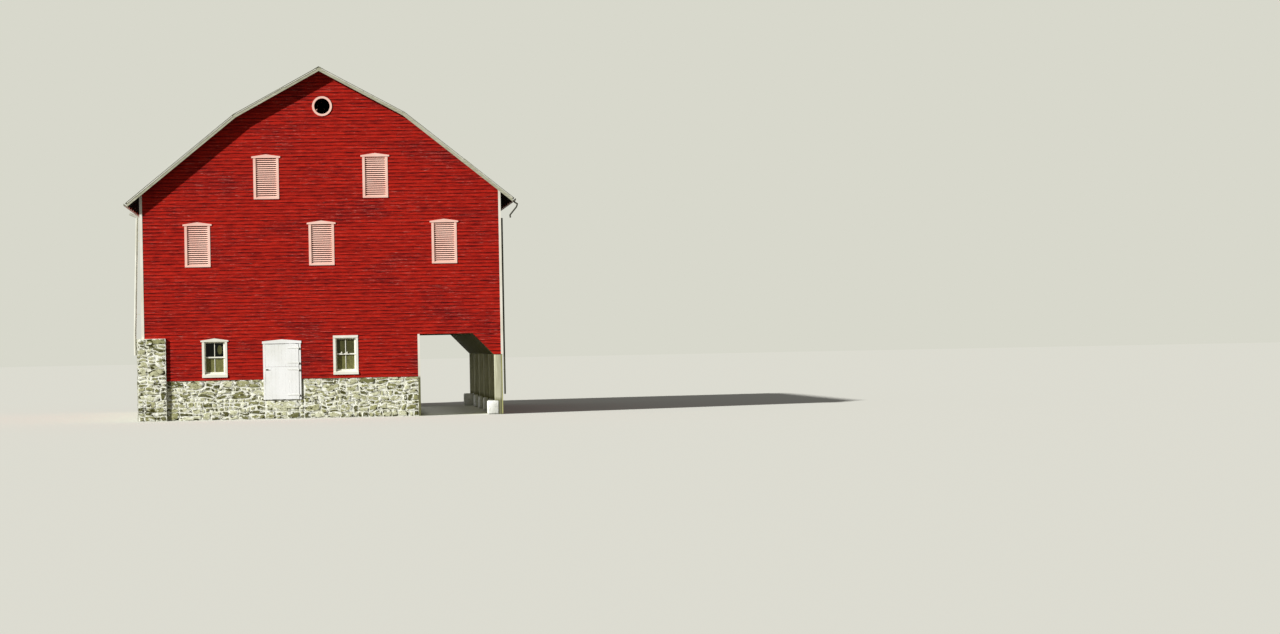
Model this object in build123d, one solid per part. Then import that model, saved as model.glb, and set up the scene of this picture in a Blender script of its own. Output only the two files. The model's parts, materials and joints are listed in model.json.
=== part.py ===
from build123d import *
from math import hypot
import os

os.makedirs("parts", exist_ok=True)

# Millimetres. X runs across the gable, Y from the front gable (-Y) to the rear one, Z up from the
# lowest ground. The origin is the centre of the plan.

# Main body
length = 18300.0
half_width = 6665.0
wall_thick = 150.0
trim_thick = 20.0
storey_top = 3050.0
base_top = 1475.0
bank_corner_width = 100.0
forebay_corner_width = 92.0

# Gambrel roof: its line meets the outer edges of the corner boards at eave_z. A lift is measured square
# to the slope, up from that line.
eave_z = 8335.0
lower_rise = 2890.0
upper_rise = 1700.0
break_x = 3110.0
eave_reach = 430.0
eave_lip = 60.0
rake_overhang = 350.0
rake_thick = 25.0
rake_drop = 45.0
rake_lip = 12.0
deck_low = 60.0
deck_top = 85.0
metal_top = 100.0
rafter_depth = 140.0
rafter_width = 70.0
rafter_count = 15
tail_depth = 110.0
ridge_board_thick = 40.0
ridge_board_depth = 220.0
ridge_cap_reach = 170.0
ridge_cap_thick = 6.0

# Stonework
stone_thick = 550.0
pier_width = 1040.0
pier_proud = 110.0
bank_proud = 185.0
base_thick = 450.0
base_setback = 20.0
base_right_x = 3490.0
base_recess_width = 90.0
base_recess_depth = 170.0

# Passage under the forebay
passage_x = 3550.0
haunch_run = 790.0
haunch_drop = 810.0
haunch_board = 28.0
post_size = 260.0
post_setback = 65.0
post_notch = 110.0
post_count = 6
footing_width = 430.0
inner_footing_width = 190.0
footing_depth = 430.0
footing_top = 510.0
footing_proud = 30.0
board_wall_thick = 38.0

# Floor over the stable and the timber frame above it
joist_depth = 200.0
joist_width = 90.0
joist_count = 20
floor_thick = 50.0
summer_xs = (-3200.0, 0.0)
summer_size = 250.0
stable_post_size = 220.0
timber = 200.0
bent_count = 6
tie_z = 7700.0
purlin_width = 240.0
purlin_depth = 260.0

# Doorway in the front gable, with a door in two leaves
door_x = -1545.0
door_low = 710.0
door_high = 2790.0
door_split = 1930.0
leaf_width = 1230.0
leaf_thick = 40.0
leaf_proud = 15.0
hinge_gap = 5.0
latch_gap = 8.0
leaf_gap = 6.0
casing_thick = 25.0
lining_thick = 30.0
door_casing_width = 75.0
door_head_reach = 26.0
door_head_height = 90.0
door_head_rise = 66.0
head_proud = 15.0
batten_thick = 25.0
batten_height = 130.0
batten_inset = 40.0
batten_margin = 90.0

# Strap hinges and latch of the leaves
strap_length = 420.0
strap_height = 44.0
strap_thick = 10.0
eye_radius = 14.0
pin_radius = 8.0
pin_play = 1.0
pin_offset_x = 12.0
pin_offset_y = 10.0
pin_head = 6.0
pintle_gap = 3.0
pintle_arm = 20.0
pintle_plate = (46.0, 7.0, 30.0)
upper_hinge_zs = (2070.0, 2620.0)
lower_hinge_zs = (880.0, 1820.0)
latch_z = 1826.0
latch_plate = (110.0, 5.0, 50.0)
latch_bolt = (130.0, 17.0, 18.0)
latch_inset = 18.0

# Windows: centre, opening low and high, meeting rail, head end height and rise (0 for a flat head)
left_window = (-4021.0, 1680.0, 2900.0, 2322.0, 50.0, 76.0)
right_window = (812.0, 1700.0, 2960.0, 2360.0, 92.0, 0.0)
window_clear = 745.0
window_casing = 90.0
window_head_reach = 50.0
sill_height = 105.0
sill_reach = 5.0
sill_proud = 55.0
sill_rise = 45.0
sash_setback = 60.0
sash_thick = 35.0
sash_rail = 50.0
sash_side_gap = 0.3
sash_gap = 3.0
muntin = 24.0
rebate = 18.0
glass_thick = 4.0
glass_bite = 8.0

# Louvred vents: centre and sill underside
top_louvre_z = 8158.0
lower_louvre_z = 5672.0
top_louvre_xs = (-2012.0, 2024.0)
lower_louvre_xs = (-4580.0, -10.0, 4550.0)
louvre_clear = 755.0
louvre_casing = 92.0
louvre_sill = 65.0
louvre_high = 1465.0
louvre_head = 58.0
louvre_rise = 76.0
louvre_head_reach = 62.0
louvre_depth = 110.0
louvre_lining = 20.0
slat_count = 19
slat_thick = 12.0
slat_width = 104.0
slat_angle = 40.0
slat_inset = 30.0
slat_tenon = 5.0
peak_foot_drop = 150.0

# Round vent
vent_x = 100.0
vent_below_apex = 1335.0
vent_outer = 368.0
vent_inner = 290.0
vent_proud = 40.0

# Rainwater goods. The bank downspout has lost the piece between its bend and the gutter, and only a
# bent end is left of the outlet of the forebay gutter.
gutter_width = 130.0
gutter_high = 95.0
gutter_bend = 20.0
gutter_thick = 4.0
gutter_drop = 10.0
pipe_wall = 4.0
pipe_setback = 60.0
bank_pipe_radius = 46.0
bank_pipe_gap = 44.0
bank_pipe_stone_gap = 26.0
bank_pipe_knee = 3200.0
bank_pipe_low = 2450.0
bank_pipe_drop = 395.0
bank_bend_reach = 275.0
bank_bend_rise = 125.0
forebay_pipe_radius = 33.0
forebay_pipe_gap = 4.0
forebay_pipe_low = 750.0
forebay_pipe_drop = 625.0
bracket_count = 2
bracket_end = 900.0
bracket_width = 40.0
bracket_height = 30.0
broken_radius = 28.0
broken_wall = 3.0
broken_setback = 60.0
broken_path = ((0.0, -45.0), (112.0, -118.0), (80.0, -226.0), (-169.0, -529.0), (-155.0, -630.0))

past = 1.0

front_y = -length / 2
inner_x = half_width - wall_thick
inner_y = length / 2 - wall_thick
eave_x = half_width + trim_thick
roof_end_x = eave_x + eave_reach
break_z = eave_z + lower_rise
apex_z = break_z + upper_rise
lower_slope = lower_rise / (eave_x - break_x)
upper_slope = upper_rise / break_x
bank_face_x = half_width + bank_proud
pier_right = -bank_face_x + pier_width
post_outer_x = half_width - post_setback
haunch_low_x = post_outer_x - post_size - 10
haunch_top_x = haunch_low_x - haunch_run
haunch_low_z = storey_top - haunch_drop
haunch_shift = haunch_board * hypot(1, haunch_run / haunch_drop)
floor_low = storey_top + joist_depth
floor_top = floor_low + floor_thick
peak_foot = top_louvre_z - peak_foot_drop
vent_z = apex_z - vent_below_apex
top_louvres = [(x, top_louvre_z) for x in top_louvre_xs]
lower_louvres = [(x, lower_louvre_z) for x in lower_louvre_xs]
casing_face = front_y - casing_thick
leaf_face = casing_face - leaf_proud
leaf_x0 = door_x - leaf_width / 2
leaf_x1 = door_x + leaf_width / 2
door_clear_x0 = leaf_x0 - latch_gap
door_clear_x1 = leaf_x1 + hinge_gap
door_hole_x0 = door_clear_x0 - lining_thick
door_hole_x1 = door_clear_x1 + lining_thick
pin_x = leaf_x1 + pin_offset_x
pin_y = leaf_face - strap_thick - pin_offset_y


def save(name, shape):
    export_step(shape, f"parts/{name}.step")


def group(solids):
    return Compound(children=solids)


def block(x0, x1, y0, y1, z0, z1):
    """A box between two corners."""
    centre = Pos((x0 + x1) / 2, (y0 + y1) / 2, (z0 + z1) / 2)
    return centre * Box(x1 - x0, y1 - y0, z1 - z0)


def plate_xz(points, y0, y1):
    """A flat outline in X and Z, made solid from y0 to y1."""
    outline = Polyline(*[(x, y0, z) for x, z in points], close=True)
    return extrude(make_face(outline), amount=y1 - y0, dir=(0, 1, 0))


def plate_yz(points, x0, x1):
    """A flat outline in Y and Z, made solid from x0 to x1."""
    outline = Polyline(*[(x0, y, z) for y, z in points], close=True)
    return extrude(make_face(outline), amount=x1 - x0, dir=(1, 0, 0))


def to_rear(shape):
    return mirror(shape, about=Plane.XZ)


def to_other_side(shape):
    return mirror(shape, about=Plane.YZ)


def spread(count, reach):
    """Even places from -reach to reach."""
    return [-reach + 2 * reach * i / (count - 1) for i in range(count)]


def roof_z(x, lift):
    """Height of the gambrel line, raised square to the slope by lift, at distance x from the ridge."""
    lower = eave_z + (eave_x - x) * lower_slope + lift * hypot(1, lower_slope)
    upper = apex_z - x * upper_slope + lift * hypot(1, upper_slope)
    return min(lower, upper)


def roof_break(lift):
    """Distance from the ridge where the two slopes meet at this lift."""
    low = eave_z + eave_x * lower_slope + lift * hypot(1, lower_slope)
    high = apex_z + lift * hypot(1, upper_slope)
    return (low - high) / (lower_slope - upper_slope)


def roof_line(x_out, x_in, lift):
    """Points of one side of the gambrel from the eave inwards."""
    xs = (x_out, roof_break(lift), x_in)
    return [(x, roof_z(x, lift)) for x in xs]


def roof_side(x_out, x_in, low, top, y0, y1):
    """A bent sheet or rafter on the +X side, between two lifts."""
    points = roof_line(x_out, x_in, low) + roof_line(x_out, x_in, top)[::-1]
    return plate_xz(points, y0, y1)


def stonework():
    """Bank wall with a pier at each gable, the base under the gables and the stable's base."""
    reach = length / 2 + pier_proud
    wall = block(-bank_face_x, -bank_face_x + stone_thick, -reach, reach, 0, storey_top)
    pier = block(-bank_face_x, pier_right, -reach, -reach + stone_thick, 0, storey_top)
    save("bank_stone_wall", wall + pier + to_rear(pier))

    y0 = front_y + base_setback
    y1 = y0 + base_thick
    base = [
        block(pier_right, door_hole_x0, y0, y1, 0, base_top),
        block(door_hole_x1, base_right_x, y0, y1, 0, base_top),
    ]
    recess_x1 = door_clear_x1 + door_casing_width + base_recess_width
    recess_y1 = y0 + base_recess_depth
    base[1] -= block(door_hole_x1 - past, recess_x1, y0 - past, recess_y1, door_low, base_top + past)
    save("front_stone_base", group(base))
    save("door_sill", block(door_hole_x0, door_hole_x1, y0, y1, 0, door_low))
    save("rear_stone_base", to_rear(block(pier_right, base_right_x, y0, y1, 0, base_top)))
    save("stable_stone_base", block(base_right_x - base_thick, base_right_x, y1, -y1, 0, base_top))


def wall_hole(x, reach, low, high):
    """Cutter for a lined hole through the front wall."""
    return block(x - reach, x + reach, front_y - past, front_y + wall_thick + past, low, high)


def window_hole(window):
    x, low, high = window[:3]
    return wall_hole(x, window_clear / 2 + lining_thick, low - lining_thick, high + lining_thick)


def cut_louvres(wall, places):
    for x, low in places:
        clear_low = low + louvre_sill
        reach = louvre_clear / 2 + louvre_lining
        wall -= wall_hole(x, reach, clear_low - louvre_lining, clear_low + louvre_high + louvre_lining)
    return wall


def round_bar(radius, y0, y1):
    """A round bar through the vent's centre."""
    return Pos(vent_x, (y0 + y1) / 2, vent_z) * Rot(90, 0, 0) * Cylinder(radius, y1 - y0)


def upper_outline(middle):
    """Outline of the middle storey, above the given points of its foot from left to right."""
    over_passage = [(haunch_top_x, storey_top), (haunch_low_x, haunch_low_z), (half_width, haunch_low_z)]
    top = [(half_width, peak_foot), (-half_width, peak_foot)]
    return [(-half_width, storey_top)] + middle + over_passage + top


def front_gable():
    """Siding walls of the front, split beside and over the doorway."""
    y0 = front_y
    y1 = front_y + wall_thick
    lower_left = block(pier_right, door_hole_x0, y0, y1, base_top, storey_top)
    save("front_wall_lower_left", lower_left - window_hole(left_window))
    lower_right = block(door_hole_x1, passage_x, y0, y1, base_top, storey_top)
    save("front_wall_lower_right", lower_right - window_hole(right_window))
    door_top = door_high + lining_thick
    over_door = [
        (door_hole_x0, storey_top),
        (door_hole_x0, door_top),
        (door_hole_x1, door_top),
        (door_hole_x1, storey_top),
    ]
    middle = plate_xz(upper_outline(over_door), y0, y1)
    save("front_wall_middle", cut_louvres(middle, lower_louvres))
    save("front_wall_peak", peak(y0, y1))


def peak(y0, y1):
    """The gable above the middle storey, up to the roof boards."""
    right = roof_line(half_width, 0, deck_low)
    left = [(-x, z) for x, z in right[:2]][::-1]
    wall = plate_xz([(-half_width, peak_foot), (half_width, peak_foot)] + right + left, y0, y1)
    return cut_louvres(wall, top_louvres) - round_bar(vent_inner, y0 - past, y1 + past)


def rear_gable():
    """One wall: the front's storeys, vents and passage with no door or window."""
    y0 = front_y
    y1 = front_y + wall_thick
    foot = [(pier_right, storey_top), (pier_right, base_top), (passage_x, base_top), (passage_x, storey_top)]
    lower = cut_louvres(plate_xz(upper_outline(foot), y0, y1), lower_louvres)
    save("rear_wall", to_rear(lower + peak(y0, y1)))


def side_walls():
    """Siding walls of the bank side and of the forebay, and the boarded walls below them."""
    top = [(half_width, roof_z(half_width, deck_low)), (inner_x, roof_z(inner_x, deck_low))]
    bank = plate_xz([(inner_x, storey_top), (half_width, storey_top)] + top, -inner_y, inner_y)
    save("bank_wall", to_other_side(bank))
    forebay_foot = [(inner_x, haunch_low_z), (half_width, haunch_low_z)]
    save("forebay_wall", plate_xz(forebay_foot + top, -inner_y, inner_y))
    x1 = post_outer_x + board_wall_thick
    save("forebay_board_wall", block(post_outer_x, x1, front_y, -front_y, 0, haunch_low_z))
    x0 = passage_x - wall_thick
    save("stable_wall", block(x0, passage_x, -inner_y, inner_y, base_top, storey_top))


def forebay():
    """Posts notched over their footings, and the sloping boards inside the passage."""
    posts = []
    footings = []
    reach = length / 2 - post_size / 2
    notch_x = post_outer_x - post_notch
    for i, y in enumerate(spread(post_count, reach)):
        y0 = y - post_size / 2
        y1 = y + post_size / 2
        upper = block(post_outer_x - post_size, post_outer_x, y0, y1, footing_top, haunch_low_z)
        posts.append(upper + block(notch_x, post_outer_x, y0, y1, 0, footing_top))
        at_end = i in (0, post_count - 1)
        width = footing_width if at_end else inner_footing_width
        middle = y * (1 - (footing_depth / 2 - post_size / 2 - footing_proud) / reach) if at_end else y
        low = middle - footing_depth / 2
        footings.append(block(notch_x - width, notch_x, low, low + footing_depth, 0, footing_top))
    save("forebay_posts", group(posts))
    save("post_footings", group(footings))
    outline = [
        (haunch_top_x, storey_top),
        (haunch_low_x, haunch_low_z),
        (haunch_low_x + haunch_shift, haunch_low_z),
        (haunch_top_x + haunch_shift, storey_top),
    ]
    save("haunch_boards", plate_xz(outline, -inner_y, inner_y))


def floors():
    """Joists and floor over the stable, on two lines of posts and beams."""
    joists = []
    half = joist_width / 2
    for y in spread(joist_count, inner_y - joist_width):
        joists.append(block(-inner_x, inner_x, y - half, y + half, storey_top, floor_low))
    save("floor_joists", group(joists))
    save("upper_floor", block(-inner_x, inner_x, -inner_y, inner_y, floor_low, floor_top))
    beam_low = storey_top - summer_size
    beams = []
    posts = []
    for x in summer_xs:
        half = summer_size / 2
        beams.append(block(x - half, x + half, -inner_y, inner_y, beam_low, storey_top))
        half = stable_post_size / 2
        for y in bent_places()[1:-1]:
            posts.append(block(x - half, x + half, y - half, y + half, 0, beam_low))
    save("summer_beams", group(beams))
    save("stable_posts", group(posts))


def bent_places():
    return spread(bent_count, inner_y - timber / 2)


def timber_frame():
    """Six bents above the floor, the plates along them and the rafters."""
    posts = []
    beams = []
    rafter_low = deck_low - rafter_depth
    plate_top = roof_z(inner_x, rafter_low)
    plate_low = plate_top - timber
    purlin_top = roof_z(break_x + purlin_width / 2, rafter_low)
    purlin_low = purlin_top - purlin_depth
    collar_x = break_x - purlin_width / 2
    half = timber / 2
    for y in bent_places():
        y0 = y - half
        y1 = y + half
        outer = block(inner_x - timber, inner_x, y0, y1, floor_top, plate_low)
        inner = block(break_x - half, break_x + half, y0, y1, floor_top, purlin_low)
        posts += [outer, inner, to_other_side(outer), to_other_side(inner)]
        tie = block(break_x + half, inner_x - timber, y0, y1, tie_z, tie_z + timber)
        beams += [tie, to_other_side(tie)]
        beams.append(block(-break_x + half, break_x - half, y0, y1, tie_z, tie_z + timber))
        beams.append(block(-collar_x, collar_x, y0, y1, purlin_top - timber, purlin_top))
    save("frame_posts", group(posts))
    save("frame_beams", group(beams))
    plate = block(inner_x - timber, inner_x, -inner_y, inner_y, plate_low, plate_top)
    purlin = block(collar_x, break_x + purlin_width / 2, -inner_y, inner_y, purlin_low, purlin_top)
    edge = ridge_board_thick / 2
    ridge_top = roof_z(edge, deck_low)
    ridge = block(-edge, edge, -inner_y, inner_y, ridge_top - ridge_board_depth, ridge_top)
    save("roof_timbers", group([plate, to_other_side(plate), purlin, to_other_side(purlin), ridge]))
    sill_x = post_outer_x - post_size
    sill = block(sill_x, inner_x, -inner_y, inner_y, haunch_low_z, haunch_low_z + timber)
    save("forebay_sill_beam", sill - under_haunch())

    rafters = []
    tails = []
    for y in spread(rafter_count, inner_y - timber - rafter_width):
        y0 = y - rafter_width / 2
        y1 = y + rafter_width / 2
        rafter = roof_side(inner_x, edge, rafter_low, deck_low, y0, y1)
        rafters += [rafter, to_other_side(rafter)]
        outline = [
            (half_width, roof_z(half_width, deck_low - tail_depth)),
            (roof_end_x, roof_z(roof_end_x, deck_low - tail_depth)),
            (roof_end_x, roof_z(roof_end_x, deck_low)),
            (half_width, roof_z(half_width, deck_low)),
        ]
        tail = plate_xz(outline, y0, y1)
        tails += [tail, to_other_side(tail)]
    save("rafters", group(rafters))
    save("rafter_tails", group(tails))


def under_haunch():
    """Everything below the upper face of the haunch boards."""
    outline = [
        (haunch_top_x + haunch_shift, storey_top),
        (haunch_low_x + haunch_shift, haunch_low_z),
        (haunch_top_x, haunch_low_z),
    ]
    return plate_xz(outline, -inner_y - past, inner_y + past)


def roof():
    """Board deck, metal sheets, ridge cap and the rake boards on both gables."""
    deck_y = length / 2 + rake_overhang - rake_thick
    side = roof_side(roof_end_x, 0, deck_low, deck_top, -deck_y, deck_y)
    save("roof_deck", side + to_other_side(side))
    metal_y = length / 2 + rake_overhang + rake_lip
    sheet = roof_side(roof_end_x + eave_lip, 0, deck_top, metal_top, -metal_y, metal_y)
    save("forebay_roof_metal", sheet)
    save("bank_roof_metal", to_other_side(sheet))
    cap_top = metal_top + ridge_cap_thick
    half = [(ridge_cap_reach, roof_z(ridge_cap_reach, metal_top)), (0, roof_z(0, metal_top))]
    half += [(0, roof_z(0, cap_top)), (ridge_cap_reach, roof_z(ridge_cap_reach, cap_top))]
    cap = plate_xz(half, -metal_y, metal_y)
    save("ridge_cap", cap + to_other_side(cap))
    rake = roof_side(roof_end_x, 0, -rake_drop, deck_top, -deck_y - rake_thick, -deck_y)
    rake = rake + to_other_side(rake)
    save("rake_boards", group([rake, to_rear(rake)]))


def corner_board(foot, width):
    """An L-shaped corner on the +X front corner, its outer edges proud of both sidings."""
    x0 = eave_x - width
    y0 = front_y - trim_thick
    top = roof_z(eave_x, deck_low)
    outline = [(x0, foot), (eave_x, foot), (eave_x, top), (x0, roof_z(x0, deck_low))]
    side = block(half_width, eave_x, front_y, y0 + width, foot, top)
    return plate_xz(outline, y0, front_y) + side


def corner_boards():
    """White boards at the four corners, and beside the passage down to the ground."""
    forebay_corner = corner_board(haunch_low_z, forebay_corner_width)
    bank_corner = to_other_side(corner_board(storey_top, bank_corner_width))
    x1 = passage_x + trim_thick
    y0 = front_y - trim_thick
    y1 = y0 + forebay_corner_width
    passage = block(base_right_x, x1, y0, front_y, base_top, storey_top)
    passage += block(passage_x, x1, front_y, y1, base_top, storey_top)
    passage += block(base_right_x, x1, y0, y1, 0, base_top)
    boards = [forebay_corner, bank_corner, passage]
    save("corner_boards", group(boards + [to_rear(board) for board in boards]))


def head_board(x, low, reach, height, rise):
    """A head board with a level foot and a low gable on top, or a flat top where rise is 0."""
    outline = [(x - reach, low), (x + reach, low), (x + reach, low + height)]
    if rise > 0:
        outline.append((x, low + height + rise))
    outline.append((x - reach, low + height))
    return plate_xz(outline, casing_face - head_proud, front_y)


def louvre(x, low):
    """Casing with gabled head and sill, a lining in the wall and angled slats between."""
    clear = louvre_clear / 2
    z0 = low + louvre_sill
    z1 = z0 + louvre_high
    outer = clear + louvre_casing
    lining = clear + louvre_lining
    back = front_y + louvre_depth
    frame = block(x - outer, x + outer, casing_face, front_y, z0, z1)
    frame += block(x - lining, x + lining, front_y, back, z0 - louvre_lining, z1 + louvre_lining)
    frame -= block(x - clear, x + clear, casing_face - past, back + past, z0, z1)
    frame += head_board(x, z1, outer + louvre_head_reach, louvre_head, louvre_rise)
    frame += block(x - outer, x + outer, casing_face - head_proud, front_y, low, z0)
    pitch = louvre_high / slat_count
    slat = Rot(slat_angle, 0, 0) * Box(louvre_clear + 2 * slat_tenon, slat_width, slat_thick)
    for i in range(slat_count):
        frame += Pos(x, front_y + slat_inset, z0 + pitch * (i + 0.5)) * slat
    return frame


def vents():
    """Louvred vents and the ring of the round vent, on both gables."""
    front = [louvre(x, low) for x, low in top_louvres + lower_louvres]
    save("front_louvres", group(front))
    save("rear_louvres", group([to_rear(vent) for vent in front]))
    y0 = front_y - vent_proud
    ring = round_bar(vent_outer, y0, front_y) - round_bar(vent_inner, y0 - past, front_y + past)
    save("round_vent_rings", group([ring, to_rear(ring)]))


def window_frame(window):
    """Casing, head, sloping sill and the lining that holds the sashes."""
    x, low, high, meeting, head_height, head_rise = window
    clear = window_clear / 2
    outer = clear + window_casing
    lining = clear + lining_thick
    back = front_y + wall_thick
    sash_back = front_y + sash_setback + 2 * sash_thick + sash_gap
    frame = block(x - outer, x + outer, casing_face, front_y, low, high)
    frame += block(x - lining, x + lining, front_y, back, low - lining_thick, high + lining_thick)
    frame -= block(x - clear, x + clear, casing_face - past, back + past, low, high)
    reach = outer + window_head_reach if head_rise > 0 else outer
    frame += head_board(x, high, reach, head_height, head_rise)
    sill_face = front_y - sill_proud
    frame += block(x - outer - sill_reach, x + outer + sill_reach, sill_face, front_y, low - sill_height, low)
    slope = [
        (front_y - casing_thick, low),
        (sash_back, low),
        (sash_back, low + sill_rise),
        (front_y + sash_setback, low + sill_rise),
    ]
    return frame + plate_yz(slope, x - clear, x + clear)


def sash(x, z0, z1, y0):
    """One sash with a muntin down its middle, and the glass in the rebate behind."""
    half = window_clear / 2 - sash_side_gap
    y1 = y0 + sash_thick
    body = block(x - half, x + half, y0, y1, z0, z1)
    pane_width = half - sash_rail - muntin / 2
    for side in (-1, 1):
        middle = x + side * (muntin + pane_width) / 2
        pane = pane_width / 2
        body -= block(middle - pane, middle + pane, y0 - past, y1 + past, z0 + sash_rail, z1 - sash_rail)
    reach = half - sash_rail + glass_bite
    low = z0 + sash_rail - glass_bite
    high = z1 - sash_rail + glass_bite
    seat = y1 - rebate
    body -= block(x - reach, x + reach, seat, y1 + past, low, high)
    return body, block(x - reach, x + reach, seat, seat + glass_thick, low, high)


def windows():
    """Two windows, each with an outer upper sash and an inner lower one."""
    sashes = []
    panes = []
    for window in (left_window, right_window):
        x, low, high, meeting = window[:4]
        y_upper = front_y + sash_setback
        y_lower = y_upper + sash_thick + sash_gap
        upper, upper_glass = sash(x, meeting - sash_rail / 2, high, y_upper)
        lower, lower_glass = sash(x, low + sill_rise, meeting + sash_rail / 2, y_lower)
        sashes += [upper, lower]
        panes += [upper_glass, lower_glass]
    save("window_frames", group([window_frame(left_window), window_frame(right_window)]))
    save("window_sashes", group(sashes))
    save("window_glass", group(panes))


def leaf(z0, z1):
    """Boards with two battens inside."""
    back = leaf_face + leaf_thick
    boards = block(leaf_x0, leaf_x1, leaf_face, back, z0, z1)
    x0 = leaf_x0 + batten_inset
    x1 = leaf_x1 - batten_inset
    for z in (z0 + batten_margin, z1 - batten_margin - batten_height):
        boards += block(x0, x1, back, back + batten_thick, z, z + batten_height)
    return boards


def upright(radius, z0, z1):
    """A round bar on the hinge axis."""
    return Pos(pin_x, pin_y, (z0 + z1) / 2) * Cylinder(radius, z1 - z0)


def strap(z):
    """A tapered strap with a rolled eye at the hinge edge."""
    half = strap_height / 2
    x0 = leaf_x1 - strap_length
    outline = [(x0, z - half / 2), (pin_x, z - half), (pin_x, z + half), (x0, z + half / 2)]
    bar = plate_xz(outline, leaf_face - strap_thick, leaf_face)
    bar += upright(eye_radius, z - half, z + half)
    return bar - upright(pin_radius + pin_play, z - half - past, z + half + past)


def pintle(z):
    """A pin through the eye, on an arm and a plate nailed to the casing."""
    half = strap_height / 2
    arm_top = z - half - pintle_gap
    arm_low = arm_top - pintle_arm
    plate_width, plate_thick, plate_drop = pintle_plate
    pin = upright(pin_radius, arm_low, z + half + pin_head)
    arm = block(pin_x - pin_radius, pin_x + pin_radius, pin_y, casing_face, arm_low, arm_top)
    x0 = pin_x - pin_radius
    x1 = x0 + plate_width
    plate = block(x0, x1, casing_face - plate_thick, casing_face, arm_low - plate_drop, arm_top)
    return pin + arm + plate


def latch():
    """A sliding bolt on its plate, near the free edge of the lower leaf."""
    plate_length, plate_thick, plate_height = latch_plate
    bolt_length, bolt_thick, bolt_height = latch_bolt
    x0 = leaf_x0 + latch_inset
    y1 = leaf_face - plate_thick
    z = latch_z
    plate = block(x0, x0 + plate_length, y1, leaf_face, z - plate_height / 2, z + plate_height / 2)
    return plate + block(x0, x0 + bolt_length, y1 - bolt_thick, y1, z - bolt_height / 2, z + bolt_height / 2)


def door():
    """Casing, and two leaves one above the other on strap hinges."""
    x0 = door_clear_x0 - door_casing_width
    x1 = door_clear_x1 + door_casing_width
    back = front_y + wall_thick
    casing = block(x0, x1, casing_face, front_y, door_low, door_high)
    casing += block(door_hole_x0, door_hole_x1, front_y, back, door_low, door_high + lining_thick)
    casing -= block(door_clear_x0, door_clear_x1, casing_face - past, back + past, door_low - past, door_high)
    middle = (x0 + x1) / 2
    reach = (x1 - x0) / 2 + door_head_reach
    casing += head_board(middle, door_high, reach, door_head_height, door_head_rise)
    save("door_casing", casing)
    save("upper_leaf_boards", leaf(door_split + leaf_gap / 2, door_high - leaf_gap))
    save("lower_leaf_boards", leaf(door_low + leaf_gap, door_split - leaf_gap / 2))
    save("upper_leaf_straps", group([strap(z) for z in upper_hinge_zs]))
    save("lower_leaf_irons", group([strap(z) for z in lower_hinge_zs] + [latch()]))
    save("door_pintles", group([pintle(z) for z in lower_hinge_zs + upper_hinge_zs]))


def pipe(points, radius, wall):
    """A round pipe along straight runs with mitred bends."""
    path = Polyline(*points)
    start = Plane(origin=points[0], z_dir=Vector(*points[1]) - Vector(*points[0]))
    ring = start * Circle(radius) - start * Circle(radius - wall)
    return sweep(ring, path=path, transition=Transition.RIGHT)


def bracket_places(low, high):
    """Undersides of the brackets, evenly up a downspout."""
    step = (high - low - 2 * bracket_end) / (bracket_count - 1)
    return [low + bracket_end + step * i for i in range(bracket_count)]


def gutter(low):
    """One open gutter with its two lower edges bent, along the +X eave."""
    y = length / 2 + rake_overhang - rake_thick
    top = low + gutter_high
    x0 = roof_end_x
    x1 = roof_end_x + gutter_width
    t = gutter_thick
    bend = gutter_bend
    outside = [(x0, top), (x0, low + bend), (x0 + bend, low), (x1 - bend, low), (x1, low + bend), (x1, top)]
    inside = [
        (x1 - t, top),
        (x1 - t, low + bend + t / 2),
        (x1 - bend - t / 2, low + t),
        (x0 + bend + t / 2, low + t),
        (x0 + t, low + bend + t / 2),
        (x0 + t, top),
    ]
    return plate_xz(outside + inside, -y, y)


def bank_downspout(gutter_low):
    """A downspout beside the corner board that leans out past the stone wall, on short brackets."""
    x_top = -eave_x - bank_pipe_gap - bank_pipe_radius
    x_low = -bank_face_x - bank_pipe_stone_gap - bank_pipe_radius
    y = front_y + pipe_setback
    top = gutter_low - bank_pipe_drop
    open_end = (x_top - bank_bend_reach, y, top + bank_bend_rise)
    run = [(x_top, y, top), (x_low, y, bank_pipe_knee), (x_low, y, bank_pipe_low)]
    spout = pipe([open_end] + run, bank_pipe_radius, pipe_wall)
    lean = (x_top - x_low) / (top - bank_pipe_knee)
    half = bracket_width / 2
    for z in bracket_places(storey_top, top):
        x = x_low + lean * (z - bank_pipe_knee) + bank_pipe_radius - pipe_wall / 2
        spout += block(x, -eave_x, y - half, y + half, z, z + bracket_height)
    return spout


def forebay_downspout(gutter_low):
    """A downspout close beside the corner board, on short brackets."""
    x = eave_x + forebay_pipe_gap + forebay_pipe_radius
    y = front_y + pipe_setback
    top = gutter_low - forebay_pipe_drop
    spout = pipe([(x, y, top), (x, y, forebay_pipe_low)], forebay_pipe_radius, pipe_wall)
    x1 = eave_x + forebay_pipe_gap + pipe_wall / 2
    half = bracket_width / 2
    for z in bracket_places(forebay_pipe_low, top):
        spout += block(eave_x, x1, y - half, y + half, z, z + bracket_height)
    return spout


def rainwater():
    """Gutters along both eaves, a downspout at each front corner and the broken outlet."""
    low = roof_z(roof_end_x, deck_low) - gutter_drop - gutter_high
    forebay_gutter = gutter(low)
    save("gutters", group([forebay_gutter, to_other_side(forebay_gutter)]))
    save("bank_downspout", bank_downspout(low))
    save("forebay_downspout", forebay_downspout(low))
    x = roof_end_x + gutter_width / 2
    y = front_y - rake_overhang + rake_thick + broken_setback
    points = [(x, y, low)] + [(x + dx, y, low + dz) for dx, dz in broken_path]
    save("broken_elbow", pipe(points, broken_radius, broken_wall))



stonework()
front_gable()
rear_gable()
side_walls()
forebay()
floors()
timber_frame()
roof()
corner_boards()
vents()
windows()
door()
rainwater()
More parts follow.
